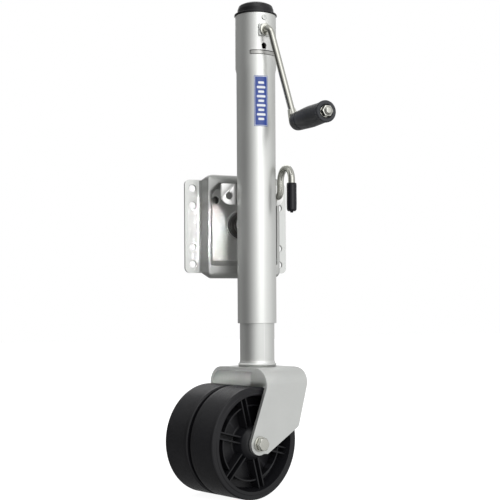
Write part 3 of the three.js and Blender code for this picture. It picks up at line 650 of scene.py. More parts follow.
# ------------------------------------------------------------------ swivel bracket
def swivel_bracket():
    low, high = span("swivel_bracket")
    ear_y, thick, ear_low = 15, 3.6, 27.3
    inner = TUBE_R + 0.3
    mid = inner + thick / 2
    contact = 46.6                                # degrees round the tube where the ear leaves the saddle
    touch = (mid * math.cos(math.radians(contact)), mid * math.sin(math.radians(contact)))
    start = arc(0, 0, mid, contact + 8, 90, 1)[0]
    path = fillet([(high.x, ear_y), (28.8, ear_y, 3), (*touch, 3), start], 6)[:-1]
    right = path + arc(0, 0, mid, contact + 8, 90, 24)
    line = right + [(-x, y) for x, y in reversed(right[:-1])]
    front, back = [], []
    for i, (x, y) in enumerate(line):
        ahead = Vector(line[min(i + 1, len(line) - 1)]) - Vector(line[max(i - 1, 0)])
        ahead.normalize()
        across = Vector((-ahead.y, ahead.x)) * (thick / 2)
        front.append((x + across.x, y + across.y))
        back.append((x - across.x, y - across.y))
    saddle = prism("swivel_saddle", front + back[::-1], low.z, high.z, upright)
    reach, corner, tip = 19.5, 13, 2.5            # half the saddle's width, and the ears' corner radii
    keep = [(-reach, low.z - 1), (reach, low.z - 1), (reach, ear_low)]
    keep += arc(high.x - corner, ear_low + corner, corner, -90, 0, 12)
    keep += arc(high.x - tip, high.z - tip, tip, 0, 90, 4) + arc(tip - high.x, high.z - tip, tip, 90, 180, 4)
    keep += arc(corner - high.x, ear_low + corner, corner, 180, 270, 12) + [(-reach, ear_low)]
    profile = prism("saddle_keep", keep, -10, 60, facing)
    boolean(saddle, [profile], "INTERSECT")
    boolean(saddle, [along_y(disc("boss", 17, 30, 36, 64))], "UNION")
    clear = disc("tube_clear", inner, low.z - 5, high.z + 5, 128)
    holes = [along_y(disc("ear_hole", 5.6, 5, 28, 40), side * PIN.x, PIN.z) for side in (1, -1)]
    boolean(saddle, [clear, *holes])
    bevel(saddle, 0.5)
    finish(on_tube(saddle), "silver_paint", "jack_tube", "swivel_bracket")


def weld_beads():
    """Fillet welds between the saddle's edges and the tube, above and below."""
    low, high = span("swivel_bracket")
    radius, first, sweep, steps = TUBE_R + 1.6, 56, 68, 60

    def bead_radius(t):
        """Rippled, and tapered at both ends."""
        return (1.9 + 0.28 * math.sin(t * 150)) * min(1, 0.35 + 12 * min(t, 1 - t))

    for name, z in (("weld_low", low.z - 0.6), ("weld_high", high.z + 0.6)):
        points = [Vector((x, y, z)) for x, y in arc(0, 0, radius, first, first + sweep, steps)]
        bead = rod(name, points, bead_radius, 14)
        finish(smooth(on_tube(bead), 80), "silver_paint", "jack_tube")


# ------------------------------------------------------------------ mount bracket
SHEET = 4.0
FLANGE_LOW, FLANGE_TOP = -72.0, 69.0
FLOOR_FRONT, FLOOR_BACK = -19, -15                # the sheet of the dish floor


def rectangle(half, low, high, corner, flat=0.0, low_corner=None, sides=14, steps=8):
    """Points of (x, z, nx, nz) round a rounded rectangle; flat pulls the top corners' arcs towards a chamfer."""
    def round_corner(quarter):
        sx, sz = QUARTERS[quarter % 4]
        size = corner if sz > 0 else low_corner or corner
        return sx * (half - size), (high if sz > 0 else low) - sz * size, size

    def point(p, degrees):
        return p.x, p.y, math.cos(math.radians(degrees)), math.sin(math.radians(degrees))

    loop = []
    for quarter in range(4):
        start, end = 90 * quarter, 90 * quarter + 90
        points = arc(*round_corner(quarter), start, end, steps)
        first, last = Vector(points[0]), Vector(points[-1])
        for k, p in enumerate(points):
            chord = first.lerp(last, k / steps)
            pulled = Vector(p).lerp(chord, flat if quarter < 2 else 0)
            loop.append(point(pulled, start + (end - start) * k / steps))
        following = Vector(arc(*round_corner(quarter + 1), end, end, 1)[0])
        loop += [point(last.lerp(following, k / sides), end) for k in range(1, sides)]
    return loop


def mount_bracket():
    """The drawn dish, as one sheet from the mounting plane round its front to the swivel bushing's hole."""
    low, high = span("mount_bracket")
    depth = -low.y
    wall, front_wall = 60.0, 59.0
    top, bottom = high.z, low.z
    floor_y = span("pivot_bushing")[0].y + 3.0
    loops = []

    def add(points, y_of):
        loops.append([(x, y_of(nx, nz), z) for x, z, nx, nz in points])

    def front_radius(nx, nz):
        return 2.2 * nx * nx + 9 * nz * nz

    for share in (0.0, 0.25, 0.55, 0.8):          # out along the walls
        rise = min(1, share / 0.8)
        add(rectangle(wall + (front_wall - wall) * share, FLANGE_LOW + (bottom - FLANGE_LOW) * rise,
                      FLANGE_TOP + (top - FLANGE_TOP) * rise, 5 + 6 * share),
            lambda nx, nz, s=share: -s * (depth - 3 * nx * nx - 9 * nz * nz))
    for k in range(1, 7):                         # round the front edge
        phi = math.pi / 2 * k / 6
        points = []
        for x, z, nx, nz in rectangle(front_wall, bottom, top, 10):
            inset = front_radius(nx, nz) * (1 - math.cos(phi))
            points.append((x - nx * inset, z - nz * inset, nx, nz))
        add(points, lambda nx, nz, p=phi: -depth + front_radius(nx, nz) * (1 - math.sin(p)))
    mouth, mouth_z, floor_x, floor_z = 55.5, 63.0, 47.0, 54.8
    slope = math.atan2(mouth - floor_x, depth + floor_y)
    for k in range(0, 5):                         # over the dish's lip
        phi = (math.pi / 2 - slope) * k / 4
        inset = 2.0 * math.sin(phi)
        add(rectangle(mouth - inset, -mouth_z + inset, mouth_z - inset, 13, 0.9, 4),
            lambda nx, nz, p=phi: -depth + 2.0 * (1 - math.cos(p)))
    for k in range(0, 6):                         # down into its floor
        phi = (math.pi / 2 - slope) * (1 - k / 5)
        grow = 3.0 * math.sin(phi)
        half_z = floor_z - 1.6 + grow * 0.6
        add(rectangle(floor_x - 1.6 + grow * 0.6, -half_z, half_z, 8, 0.8, 3),
            lambda nx, nz, p=phi: floor_y - 2.4 * (1 - math.cos(p)))
    angles = [math.atan2(z, x) for x, z, nx, nz in rectangle(floor_x, -floor_z, floor_z, 7)]
    for radius, y in ((26, 0), (23.4, 0), (22.9, -0.3), (22.5, -0.8), (22.0, -1.1), (21.4, -1.1), (20.9, -0.8),
                      (20.6, -0.3), (20.1, 0), (16, 0)):
        loops.append([(radius * math.cos(angle), floor_y + y, radius * math.sin(angle)) for angle in angles])
    bracket = skin("mount_bracket_sheet", loops)
    if sum(face.normal.y * face.area for face in bracket.data.polygons) > 0:
        bracket.data.flip_normals()
    thicken = bracket.modifiers.new("sheet", "SOLIDIFY")
    thicken.thickness = SHEET * MM
    thicken.offset = -1
    return apply_modifiers(bracket)


def flange_outline(side, inner, outer, low, high, corner=8):
    """One bolt flange, bent off the side wall."""
    outline = [(inner, low)] + arc(outer - corner, low + corner, corner, -90, 0, 8)
    outline += arc(outer - corner, high - corner, corner, 0, 90, 8) + [(inner, high)]
    return [(side * x, z) for x, z in outline]


def chamfered_hole(radius, x, z, low, high, chamfer=0.45):
    """A cutter for a hole through sheet from y = low to high, with both its edges broken."""
    past = 1.5
    wide = radius + chamfer + past
    profile = [(0, low - past), (wide, low - past), (radius, low + chamfer), (radius, high - chamfer),
               (wide, high + past), (0, high + past)]
    return along_y(lathe("hole", profile, 40), x, z)


def finish_bracket(bracket):
    parts = []
    for side in (1, -1):
        outline = flange_outline(side, 57.5, span("mount_bracket")[1].x, FLANGE_LOW, FLANGE_TOP)
        parts.append(prism(f"flange_{side}", outline, -SHEET, 0, facing))
        root = [(59.2, -3.8), (64.5, -3.8)] + arc(64.2, -8.4, 4.5, 88, 176, 8) + [(59.2, -9)]
        curve = [(side * x, y) for x, y in root]
        parts.append(prism(f"flange_root_{side}", curve, FLANGE_LOW + 1.5, FLANGE_TOP - 1.5, upright))
    boolean(bracket, parts, "UNION", mend=True)
    bevel(bracket, 0.45, 2, 50)
    bolt_x, bolt_rows = 71.6, (-58.8, -33.2, 30, 55.6)
    holes = [chamfered_hole(5.5, side * bolt_x, z, -SHEET, 0) for z in bolt_rows for side in (1, -1)]
    for quarter in (0, 1, 3):                     # the lock pin's index holes
        spot = Matrix.Rotation(math.pi / 2 * quarter, 2) @ Vector((PIN.x, PIN.z))
        holes.append(chamfered_hole(5.7, spot.x, spot.y, FLOOR_FRONT, FLOOR_BACK))
    boolean(bracket, holes)
    exact_normals(smooth(bracket, 40), lambda at: Vector((0, 1, 0)), 0.9995)
    finish(bracket, "silver_paint", "frame_bracket", "mount_bracket", look=BRACKET_SHADED_PAINT)
    low, high = span("bracket_back_plate")
    corners = [(x, z, 5) for x, z in ((low.x, low.z), (high.x, low.z), (high.x, high.z), (low.x, high.z))]
    outline = fillet([(low.x, 0), *corners, (low.x, 0)], 6)[:-1]
    back = prism("back_plate", outline, low.y, high.y, facing)
    finish(bevel(back, 0.3, 1), "silver_paint", "frame_bracket", "bracket_back_plate", look=BRACKET_SHADED_PAINT)


# ------------------------------------------------------------------ pivot
def turned_on(name, profile, at, slot, body, node, sides=72):
    """A turned piece whose axis is parallel to Y through at = (x, z)."""
    finish(smooth(along_y(lathe(name, profile, sides), *at)), slot, body, node)


def ring_profile(bore, radius, low, high, edge=0.4):
    return [(bore, low), (radius, low, edge), (radius, high, edge), (bore, high)]


def hexagon(name, across, low, high, low_chamfer=1.0, high_chamfer=1.0):
    """A hexagon head or nut round Z with turned chamfers."""
    corner = across / math.sqrt(3)
    outline = [(corner * math.cos(TURN * i / 6), corner * math.sin(TURN * i / 6)) for i in range(6)]
    body = prism(name, outline, low, high, upright)
    reach = corner + 0.5
    flat = across / 2 - 0.3
    cone = lathe("hex_cone", [
        (0, low - 0.2), (flat, low - 0.2), (flat, low), (reach, low + low_chamfer + 0.6),
        (reach, high - high_chamfer - 0.6), (flat, high), (flat, high + 0.2), (0, high + 0.2),
    ], 96)
    boolean(body, [cone], "INTERSECT")
    return body


def pivot():
    bore, axis, thread_root = 10.3, (0, 0), 9.45
    (_, low, _), (_, high, _) = span("pivot_bushing")
    edge = radius_of("pivot_bushing")
    turned_on("pivot_bushing_flange", [
        (bore, low), (edge - 1.2, low, 0.4), (edge, low + 0.9, 0.4), (edge, low + 2.7, 0.3), (15.7, low + 2.7),
        (15.7, high), (bore, high),
    ], axis, "dark_steel", "frame_bracket", "pivot_bushing")
    (_, low, _), (_, high, _) = span("pivot_wave_washer")
    profile = ring_profile(bore, radius_of("pivot_wave_washer"), low + 0.25, high - 0.25)
    washer = lathe("pivot_wave_washer_ring", profile, 72)
    for vertex in washer.data.vertices:
        vertex.co.z += 0.22 * MM * math.sin(3 * math.atan2(vertex.co.y, vertex.co.x))
    finish(smooth(place(washer, ALONG_Y)), "dark_steel", "jack_tube", "pivot_wave_washer")
    (_, low, _), (_, high, _) = span("pivot_post")
    edge = radius_of("pivot_post")
    post = [(0, low), (edge - 0.8, low, 0.6), (edge, low + 4, 0.8), (13, low + 6.7, 0.8), (13, low + 19.4, 0.4),
            (10, low + 19.4)]
    threads = 9
    first, start, end = span("pivot_washer")[1].y, span("pivot_nut")[1].y - 1, high - 1.2
    for i in range(threads):
        z = first + (end - first) * i / threads
        post += [(10, z), (thread_root, z + (end - start) / threads)]
    post += [(9.6, end), (8.5, high, 0.3), (0, high)]
    turned_on("pivot_post_bolt", post, axis, "dark_steel", "jack_tube", "pivot_post", 64)
    (_, low, _), (_, high, _) = span("pivot_washer")
    turned_on("pivot_washer_ring", ring_profile(bore, radius_of("pivot_washer"), low, high, 0.5), axis,
              "bright_zinc", "jack_tube", "pivot_washer")
    (_, low, _), (_, high, _) = span("pivot_nut")
    nut = hexagon("pivot_nut_hex", 24, low, high, 1.2, 1.2)
    boolean(nut, [disc("nut_bore", bore, low - 2, high + 2, 64)])
    finish(bevel(place(nut, ALONG_Y), 0.25, 1), "bright_zinc", "jack_tube", "pivot_nut")


# ------------------------------------------------------------------ crank
ROD_R = 4.76
ARM_Y = span("crank_handle")[0].y + ROD_R
SHAFT_END = span("crank_handle")[1].y
ARM_LEAN = math.atan2(GRIP.x - TUBE.x, CRANK_Z - GRIP.z)
EYE_HALF = 3.4
GRIP_BORE = 4.3
GEAR_PIN_R = 1.9


def crank_handle():
    elbow = Vector((TUBE.x, ARM_Y, CRANK_Z))
    knee = Vector((GRIP.x, ARM_Y, GRIP.z))
    down = (knee - elbow).normalized()
    eye_inset, bend = 12, 11
    path = bent([Vector((TUBE.x, SHAFT_END, CRANK_Z)), elbow, knee - down * eye_inset], bend, 14)
    crank = rod("crank_handle_bar", path, ROD_R, 36)
    loops = []
    for y, pull in ((-EYE_HALF, 0.7), (-EYE_HALF + 0.7, 0.0), (EYE_HALF - 0.7, 0.0), (EYE_HALF, 0.7)):
        outline = arc(0, 0, 7.6 - pull, 180, 360, 20) + [
            (7.2 - pull, 6), (6.1 - pull, 13), (4.9 - pull, 20), (pull - 4.9, 20), (pull - 6.1, 13), (pull - 7.2, 6)]
        loops.append([(u, y, v) for u, v in outline])
    eye = loft("crank_eye", loops)
    place(eye, shift(GRIP.x, ARM_Y, GRIP.z) @ Matrix.Rotation(-ARM_LEAN, 4, "Y"))
    bolt_hole = along_y(disc("bolt_hole", GRIP_BORE, ARM_Y - 10, ARM_Y + 10), GRIP.x, GRIP.z)
    groove = lathe("clip_groove", ring_profile(ROD_R - 0.9, 8, TUBE.y + 32.1, TUBE.y + 33.7, 0.1))
    along_y(groove, TUBE.x, CRANK_Z)
    pin_hole = place(disc("pin_hole", GEAR_PIN_R, -15, 15, 24), shift(TUBE.x, TUBE.y - 20, CRANK_Z))
    boolean(crank, [eye], "UNION")
    boolean(crank, [bolt_hole, groove, pin_hole])
    finish(smooth(crank, 32), "bright_zinc", "crank", "crank_handle")


def shaft_rings():
    at = (TUBE.x, CRANK_Z)
    for node, bore, slot, edge in (("shaft_clip", ROD_R - 0.6, "spring_steel", 0.3),
                                   ("shaft_stop_collar", ROD_R + 0.3, "bright_zinc", 0.6)):
        low, high = span(node)
        profile = ring_profile(bore, radius_of(node), low.y, high.y, edge)
        turned_on(f"{node}_ring", profile, at, slot, "crank", node)
    low, high = span("rear_crank_bushing")
    radius, bore, sleeve_r, flange_y = radius_of("rear_crank_bushing"), ROD_R + 0.3, 7.6, low.y + 5.8
    turned_on("rear_bushing_flange", [
        (bore, low.y), (sleeve_r, low.y, 0.3), (sleeve_r, flange_y), (radius, flange_y, 0.2), (radius, high.y, 0.4),
        (bore, high.y),
    ], at, "bronze", "jack_tube", "rear_crank_bushing")


def crank_grip():
    low, high = span("crank_grip")
    start, end = high.y, low.y
    at = (GRIP.x, GRIP.z)
    floor = end + 5
    turned_on("crank_grip_barrel", [
        (GRIP_BORE, start), (GRIP_BORE, floor), (9.8, floor, 0.4), (9.8, end, 0.5), (13.8, end, 0.7),
        (15.1, end + 1.3, 1.0), (15.1, end + 5.0, 1.0), (14.2, end + 6.8, 0.8), (14.3, end + 11, 20),
        (14.7, end + 27, 60), (15.2, end + 46, 80), (14.6, end + 62, 60), (14.1, end + 71, 0.4),
        (13.55, end + 71.9, 0.4), (13.55, end + 73.1, 0.4), (14.0, end + 73.9, 0.4), (13.3, start - 3.5, 8),
        (12.9, start - 1.5, 1.4), (11.4, start, 0.6),
    ], at, "grip_rubber", "grip", "crank_grip", 112)
    for node in ("grip_washer_inner", "grip_washer_outer"):
        near, far = span(node)
        profile = ring_profile(GRIP_BORE, radius_of(node), near.y, far.y, 0.35)
        turned_on(f"{node}_ring", profile, at, "bright_zinc", "crank", node)
    near, far = span("grip_bolt")
    head = hexagon("grip_bolt_bar", 14, near.y + 3, near.y + 10.2, 0.2, 1.0)
    dome = lathe("bolt_dome", [
        (0, near.y), (3.6, near.y, 1.0), (6.0, near.y + 2.6, 1.6), (6.4, near.y + 4.1), (6.4, near.y + 5),
        (0, near.y + 5),
    ], 64, 5)
    boolean(head, [dome, disc("bolt_shank", 4, near.y + 8, far.y, 48)], "UNION")
    finish(smooth(along_y(head, *at), 30), "bright_zinc", "crank", "grip_bolt")


# ------------------------------------------------------------------ lock pin
HOOK_R = 19
FAR_Y = middle("lock_pin_grip").y
RISE_Y = FAR_Y + 2 * HOOK_R
HOOK_Z = span("lock_pin")[1].z - PIN_R - HOOK_R
PIN_TIP_Y = -12.5                 # the real pin's tip, through its index hole


def lock_pin():
    corners = [(PIN_TIP_Y, PIN.z), (RISE_Y, PIN.z), (RISE_Y, HOOK_Z - 0.5)]
    path = bent([Vector((PIN.x, y, z)) for y, z in corners], 9, 12)
    path += [Vector((PIN.x, y, z)) for y, z in arc(RISE_Y - HOOK_R, HOOK_Z, HOOK_R, 0, 180, 32)]
    path.append(Vector((PIN.x, FAR_Y, span("lock_pin_grip")[0].z + 8)))
    taper, blunt = 0.9, 0.72                      # the tip's chamfer, and its end's share of the width
    path[1:1] = [path[0] + Vector((0, -taper, 0)), path[0] + Vector((0, -2 * taper, 0))]
    pin = rod("lock_pin_bar", path, PIN_R, 32)
    for vertex in pin.data.vertices:
        tip = vertex.co.y / MM - PIN_TIP_Y
        if tip > -taper:
            shrink = blunt - (1 - blunt) * tip / taper
            vertex.co.x = (PIN.x + (vertex.co.x / MM - PIN.x) * shrink) * MM
            vertex.co.z = (PIN.z + (vertex.co.z / MM - PIN.z) * shrink) * MM
    near, far = span("lock_pin_clip")
    groove = lathe("pin_groove", ring_profile(PIN_R - 1, 8, near.y - 0.2, far.y + 0.2, 0.1))
    boolean(pin, [along_y(groove, PIN.x, PIN.z)])
    finish(smooth(pin, 30), "bright_zinc", "lock", "lock_pin")
    profile = ring_profile(PIN_R - 0.7, radius_of("lock_pin_clip"), near.y, far.y, 0.3)
    turned_on("lock_pin_clip_ring", profile, (PIN.x, PIN.z), "spring_steel", "lock", "lock_pin_clip")


def vinyl_grip():
    low, high = span("lock_pin_grip")
    radius, foot = radius_of("lock_pin_grip"), low.z + 2
    grip = lathe("lock_pin_vinyl", [
        (0, low.z), (2.0, low.z, 0.6), (2.5, foot, 0.4), (5.6, foot, 1.6), (radius - 0.25, foot + 2.4, 2.0),
        (radius, foot + 12, 40), (radius - 0.15, high.z - 12, 40), (radius - 0.05, high.z - 2.4, 0.6),
        (radius - 0.5, high.z - 1.9, 0.3), (radius - 0.1, high.z - 1.3, 0.3), (radius - 0.6, high.z, 0.6),
        (PIN_R + 0.1, high.z), (PIN_R + 0.1, foot + 3.6), (0, foot + 3.6),
    ], 64, 5)
    place(grip, shift(PIN.x, FAR_Y, 0))
    finish(smooth(grip, 40), "vinyl", "lock", "lock_pin_grip")


def pin_spring():
    low, high = span("lock_pin_spring")
    wire = 0.85
    coil = radius_of("lock_pin_spring") - wire
    start, end = low.y + wire, high.y - wire
    turns, closed, steps = 4.5, 0.6, 26           # closed is the flat part of a turn at each end
    path = []
    for i in range(round(turns * steps) + 1):
        turn = i / steps
        share = min(1, max(0, (turn - closed) / (turns - 2 * closed)))
        angle = TURN * turn
        y = start + (end - start) * share
        path.append(Vector((PIN.x + coil * math.cos(angle), y, PIN.z + coil * math.sin(angle))))
    spring = rod("lock_pin_spring_coil", path, wire, 12)
    finish(smooth(spring, 60), "spring_steel", "jack_tube", "lock_pin_spring")
    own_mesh(spring)


# ------------------------------------------------------------------ caster
IN_CASTER = shift(TUBE.x, TUBE.y, 0) @ Matrix.Rotation(CASTER_TURN, 4, "Z")
ON_AXLE = IN_CASTER @ shift(TRAIL, 0, AXLE.z)
YOKE_HALF = 61.5
YOKE_SHEET = 4.8
WHEEL_GAP = 3.4                   # inner wheel face from the middle of the axle


def yoke():
    bend, back, front, deep, web_low = 24, -42.5, 38, -345, -246
    top = YOKE_TOP

    def arch(half, roof, radius):
        right = arc(half - radius, roof - radius, radius, 0, 90, 20)
        return [(half, deep), *right, *arc(radius - half, roof - radius, radius, 90, 180, 20), (-half, deep)]

    inside = arch(YOKE_HALF - YOKE_SHEET, top - YOKE_SHEET, bend - YOKE_SHEET)
    section = arch(YOKE_HALF, top, bend) + inside[::-1]
    channel = prism("caster_yoke_sheet", section, -60, 90, lambda u, v, h: (h, u, v))
    arm = [(front, top + 1), (back + 7, top + 1)] + arc(back + 7, top - 7, 7, 90, 180, 8) + [(back, -230)]
    arm += fillet([(back, -230), (back + 0.3, -236, 10), (-24.4, -296.4, 8), (37, -330.4)], 8)[1:]
    arm += arc(TRAIL, AXLE.z, 16.0, -116, 23, 26) + [(front, -237)]
    side = prism("arm_outline", arm, -70, 70, facing)
    outer = [(u, max(v, web_low)) for u, v in arch(YOKE_HALF - 0.2, top - 0.2, bend)]
    boolean(channel, [prism("yoke_web", outer, back, back + YOKE_SHEET, lambda u, v, h: (h, u, v))], "UNION")
    boolean(channel, [side], "INTERSECT")
    axle = along_y(disc("axle_hole", 6.4, -70, 70), TRAIL, AXLE.z)
    boolean(channel, [axle, disc("kingpin_hole", 8.3, top - 10, top + 5)])
    bevel(channel, 0.55, 2, 50)
    place(channel, IN_CASTER)
    finish(channel, "zinc_plate", "caster", "caster_yoke")


def kingpin_and_race():
    low, high = span("kingpin")
    shank, head, head_z, rivet_z = 8, 13, low.z + 4, high.z - 5.4
    turned_up("kingpin_rivet", [
        (0, low.z + 2), (11.5, low.z + 2, 0.6), (head, low.z + 2.8, 0.6), (head, head_z), (shank, head_z),
        (shank, rivet_z), (head, rivet_z, 0.6), (11, high.z - 1, 2.0), (0, high.z),
    ], "bright_zinc", "caster", "kingpin", 72)
    low, high = span("swivel_race")
    radius, bore, seam = radius_of("swivel_race"), 8.6, (low.z + high.z) / 2
    turned_up("swivel_race_ring", [
        (bore, low.z), (radius - 1.2, low.z, 0.5), (radius, low.z + 1.4, 0.6), (radius, seam - 0.4, 0.2),
        (radius - 0.9, seam, 0.2), (radius, seam + 0.4, 0.2), (radius, high.z - 1, 0.6),
        (radius - 1.2, high.z, 0.4), (bore, high.z),
    ], "zinc_plate", "caster", "swivel_race")
    low, high = span("swivel_collar")
    radius, top = radius_of("swivel_collar"), high.z + 1.5
    turned_up("swivel_collar_ring", [
        (INNER_R + 0.05, low.z), (radius, low.z, 0.3), (radius - 0.3, low.z + 1.0, 1.2),
        (INNER_R + 0.9, low.z + 2.6, 3), (INNER_R + 0.15, top), (INNER_R + 0.05, top),
    ], "silver_paint", "lift_tube", "swivel_collar", 112, 6)


def axle_pieces():
    head, bore, across = YOKE_HALF + 0.3, 6.3, 17
    washer, key = 2, 9.4                          # washer thickness, and how far the head and nut reach
    bolt = hexagon("axle_bolt_bar", across, head + washer + 0.3, head + key, 0.2, 1.3)
    shank = [(0, -76), (5.2, -76, 0.3), (6, -74.8, 0.3), (6, head + 4), (0, head + 4)]
    boolean(bolt, [lathe("axle_shank", shank, 48)], "UNION")
    bevel(place(bolt, ON_AXLE @ ALONG_Y), 0.2, 1, 25)
    finish(bolt, "bright_zinc", "caster", "axle_bolt")
    nut = hexagon("axle_nut_hex", across, -head - key, -head - washer - 0.3, 1.3, 0.3)
    insert = [(0, -head - 12), (7.2, -head - 12, 1.2), (8.2, -head - 9, 0.5), (8.2, -head - 8.5), (0, -head - 8.5)]
    boolean(nut, [lathe("nut_insert", insert, 64)], "UNION")
    boolean(nut, [disc("nut_bore", bore, -90, -50)])
    finish(smooth(place(nut, ON_AXLE @ ALONG_Y), 30), "bright_zinc", "caster", "axle_nut")

    def ring(node, side, radius, low, high, slot, edge=0.4):
        made = lathe(f"{node}_ring", ring_profile(bore, radius, low, high, edge), 64)
        place(made, ON_AXLE @ Matrix.Scale(side, 4, (0, 1, 0)) @ ALONG_Y)
        finish(smooth(made), slot, "caster", node)

    ring("wheel_spacer", 1, 10, 0.3 - WHEEL_GAP, WHEEL_GAP - 0.3, "steel")
    for name, side in (("near", 1), ("far", -1)):
        ring(f"axle_washer_{name}", side, 11, head, head + washer, "bright_zinc", 0.5)
        ring(f"wheel_washer_{name}", side, 14, 55.5, 56.4, "nylon", 0.3)


def wheel(name):
    """A moulded wheel round Z: web, hub, grooved tread, and on each face six double spokes and their bows."""
    inner, outer, hub_end = WHEEL_GAP, 53.0, 55.2
    centre = (inner + outer) / 2
    web, bore, hub = 3.0, 9.3, 24.0
    rim, lip = 66.5, 72.0
    profile = [(bore, inner), (hub - 1, inner, 0.8), (hub + 1.5, centre - web, 2.5), (rim - 1.5, centre - web, 3),
               (rim + 1, inner, 0.8), (WHEEL_R - 1.8, inner, 1.0), (WHEEL_R, inner + 1.8, 1.0)]
    first, last, pitch, groove, depth = inner + 7.2, outer - 7.2, 2.15, 0.55, 0.4
    for i in range(int((last - first) / pitch) + 1):
        z = first + pitch * i
        profile += [(WHEEL_R, z), (WHEEL_R - depth, z + groove * 0.35), (WHEEL_R - depth, z + groove * 0.65),
                    (WHEEL_R, z + groove)]
    profile += [(WHEEL_R, outer - 2.4, 0.8), (WHEEL_R - 1.6, outer - 0.8, 0.6), (lip + 0.6, outer - 0.8, 0.4),
                (lip, outer, 0.5), (rim + 1.2, outer, 0.7), (rim - 1.5, centre + web, 3),
                (hub + 1.5, centre + web, 2.5), (hub - 1.0, hub_end - 8, 5), (hub - 6.5, hub_end, 6),
                (bore, hub_end)]
    made = lathe(f"wheel_{name}_tyre", profile, 128, 3)
    ribs = []
    rib_half, spoke_offset, ring_r = 1.0, 4.3, 53.0
    half = math.degrees(math.asin(4.0 / ring_r))
    for face, top in ((1, outer - 7.0), (-1, inner + 4.0)):
        floor = centre + face * (web - 0.5)
        low, high = min(floor, top), max(floor, top)
        for spoke in range(6):
            turn = Matrix.Rotation(TURN * (spoke + 0.25) / 6, 4, "Z")
            for offset in (spoke_offset, -spoke_offset):
                rib = block("rib", hub - 3, rim + 0.5, offset - rib_half, offset + rib_half, low, high)
                ribs.append(place(rib, turn))
            outline = arc(0, 0, ring_r + rib_half, half, 60 - half, 8)
            outline += arc(0, 0, ring_r - rib_half, 60 - half, half, 8)
            bow = prism("rib_bow", outline, low, high - 2 if face > 0 else high, upright)
            ribs.append(place(bow, turn))
    boolean(made, ribs, "UNION")
    return smooth(made, 32)


def wheels():
    for name, side in (("near", 1), ("far", -1)):
        made = wheel(name)
        flip = Matrix.Scale(side, 4, (0, 1, 0))
        place(made, ON_AXLE @ flip @ ALONG_Y)
        finish(made, "wheel_plastic", f"{name}_wheel", f"wheel_{name}")


# ------------------------------------------------------------------ inside
def thrust_plate():
    low, high = span("thrust_plate")
    disc_r = HEAD_R - WALL - 0.3
    reach = HEAD_R - 0.4
    half = math.degrees(math.asin((SLOT_HALF - 1.0) / reach))
    outline = arc(0, 0, reach, -90 - half, -90 + half, 20) + arc(0, 0, disc_r, -90 + half, 270 - half, 72)
    plate = prism("thrust_plate_disc", outline, low.z, high.z, upright)
    boolean(plate, [disc("screw_clear", 8.0, low.z - 1, high.z + 1)])
    finish(bevel(on_tube(plate), 0.4, 2, 50), "steel", "jack_tube", "thrust_plate")


def drive_screw():
    """The lead screw with its real square-sided thread, hidden inside the tubes."""
    low, high = span("drive_screw")
    radius, pitch = radius_of("drive_screw"), 6.35
    root, thread_end = radius - 1.9, PLATE_Z - 8
    sides, per_turn = 24, 8
    loops = []

    def ring(r_of, z):
        angles = [TURN * k / sides for k in range(sides)]
        loops.append([(r_of(k) * math.cos(a), r_of(k) * math.sin(a), z) for k, a in enumerate(angles)])

    ring(lambda k: root - 0.8, low.z)
    ring(lambda k: root, low.z + 1)
    count = int((thread_end - low.z - 2) / pitch * per_turn)
    for i in range(count + 1):
        z = low.z + 2 + i * pitch / per_turn

        def thread(k, z=z):
            phase = ((z - low.z) / pitch - k / sides) % 1
            rise = min(1, max(0, min(phase - 0.02, 0.52 - phase) / 0.07))
            return root + (radius - root) * rise

        ring(thread, z)
    neck = PLATE_Z + 8.8
    for r, z in ((root, thread_end), (radius, thread_end + 1.5), (radius, neck), (6, neck), (6, high.z - 1),
                 (5, high.z)):
        ring(lambda k, r=r: r, z)
    screw = loft("drive_screw_thread", loops)
    boolean(screw, [along_y(disc("pin_hole", GEAR_PIN_R, -15, 15, 24), 0, CRANK_Z - 19)])
    finish(smooth(on_tube(screw), 30), "steel", "screw", "drive_screw")


KEPT = {
    "steel": ("crank_gear", "screw_gear", "thrust_race_lower", "thrust_race_upper", "swivel_floor_plate"),
    "spring_steel": ("crank_gear_pin", "screw_gear_pin", "thrust_ball_cage", "nut_pin_front", "nut_pin_rear"),
    "bronze": ("drive_nut",),
    "nylon": ("wheel_bushing_near", "wheel_bushing_far"),
}


def kept_nodes():
    """CAD nodes whose plain shape is right stay, with the materials made here."""
    for material, names in KEPT.items():
        for name in names:
            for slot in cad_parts[name].material_slots:
                slot.material = MATERIALS[material]


# ------------------------------------------------------------------ camera, floor, light
VIEW = Vector((0.407, 0.9135, 0)).normalized()
CAMERA_BACK, CAMERA_Z = 1575, -118
CAMERA_ROLL = math.radians(-0.30)


def camera():
    data = bpy.data.cameras.new("camera")
    data.sensor_width = 36
    data.lens = 77.0
    data.shift_x = -0.014
    data.shift_y = 0.106
    data.clip_start, data.clip_end = 0.05, 50
    obj = add_object("camera", data)
    spot = Vector((TUBE.x, TUBE.y, CAMERA_Z)) - VIEW * CAMERA_BACK
    roll = Matrix.Rotation(CAMERA_ROLL, 4, "Z")
    obj.matrix_world = Matrix.Translation(spot * MM) @ VIEW.to_track_quat("-Z", "Y").to_matrix().to_4x4() @ roll
    bpy.context.scene.camera = obj


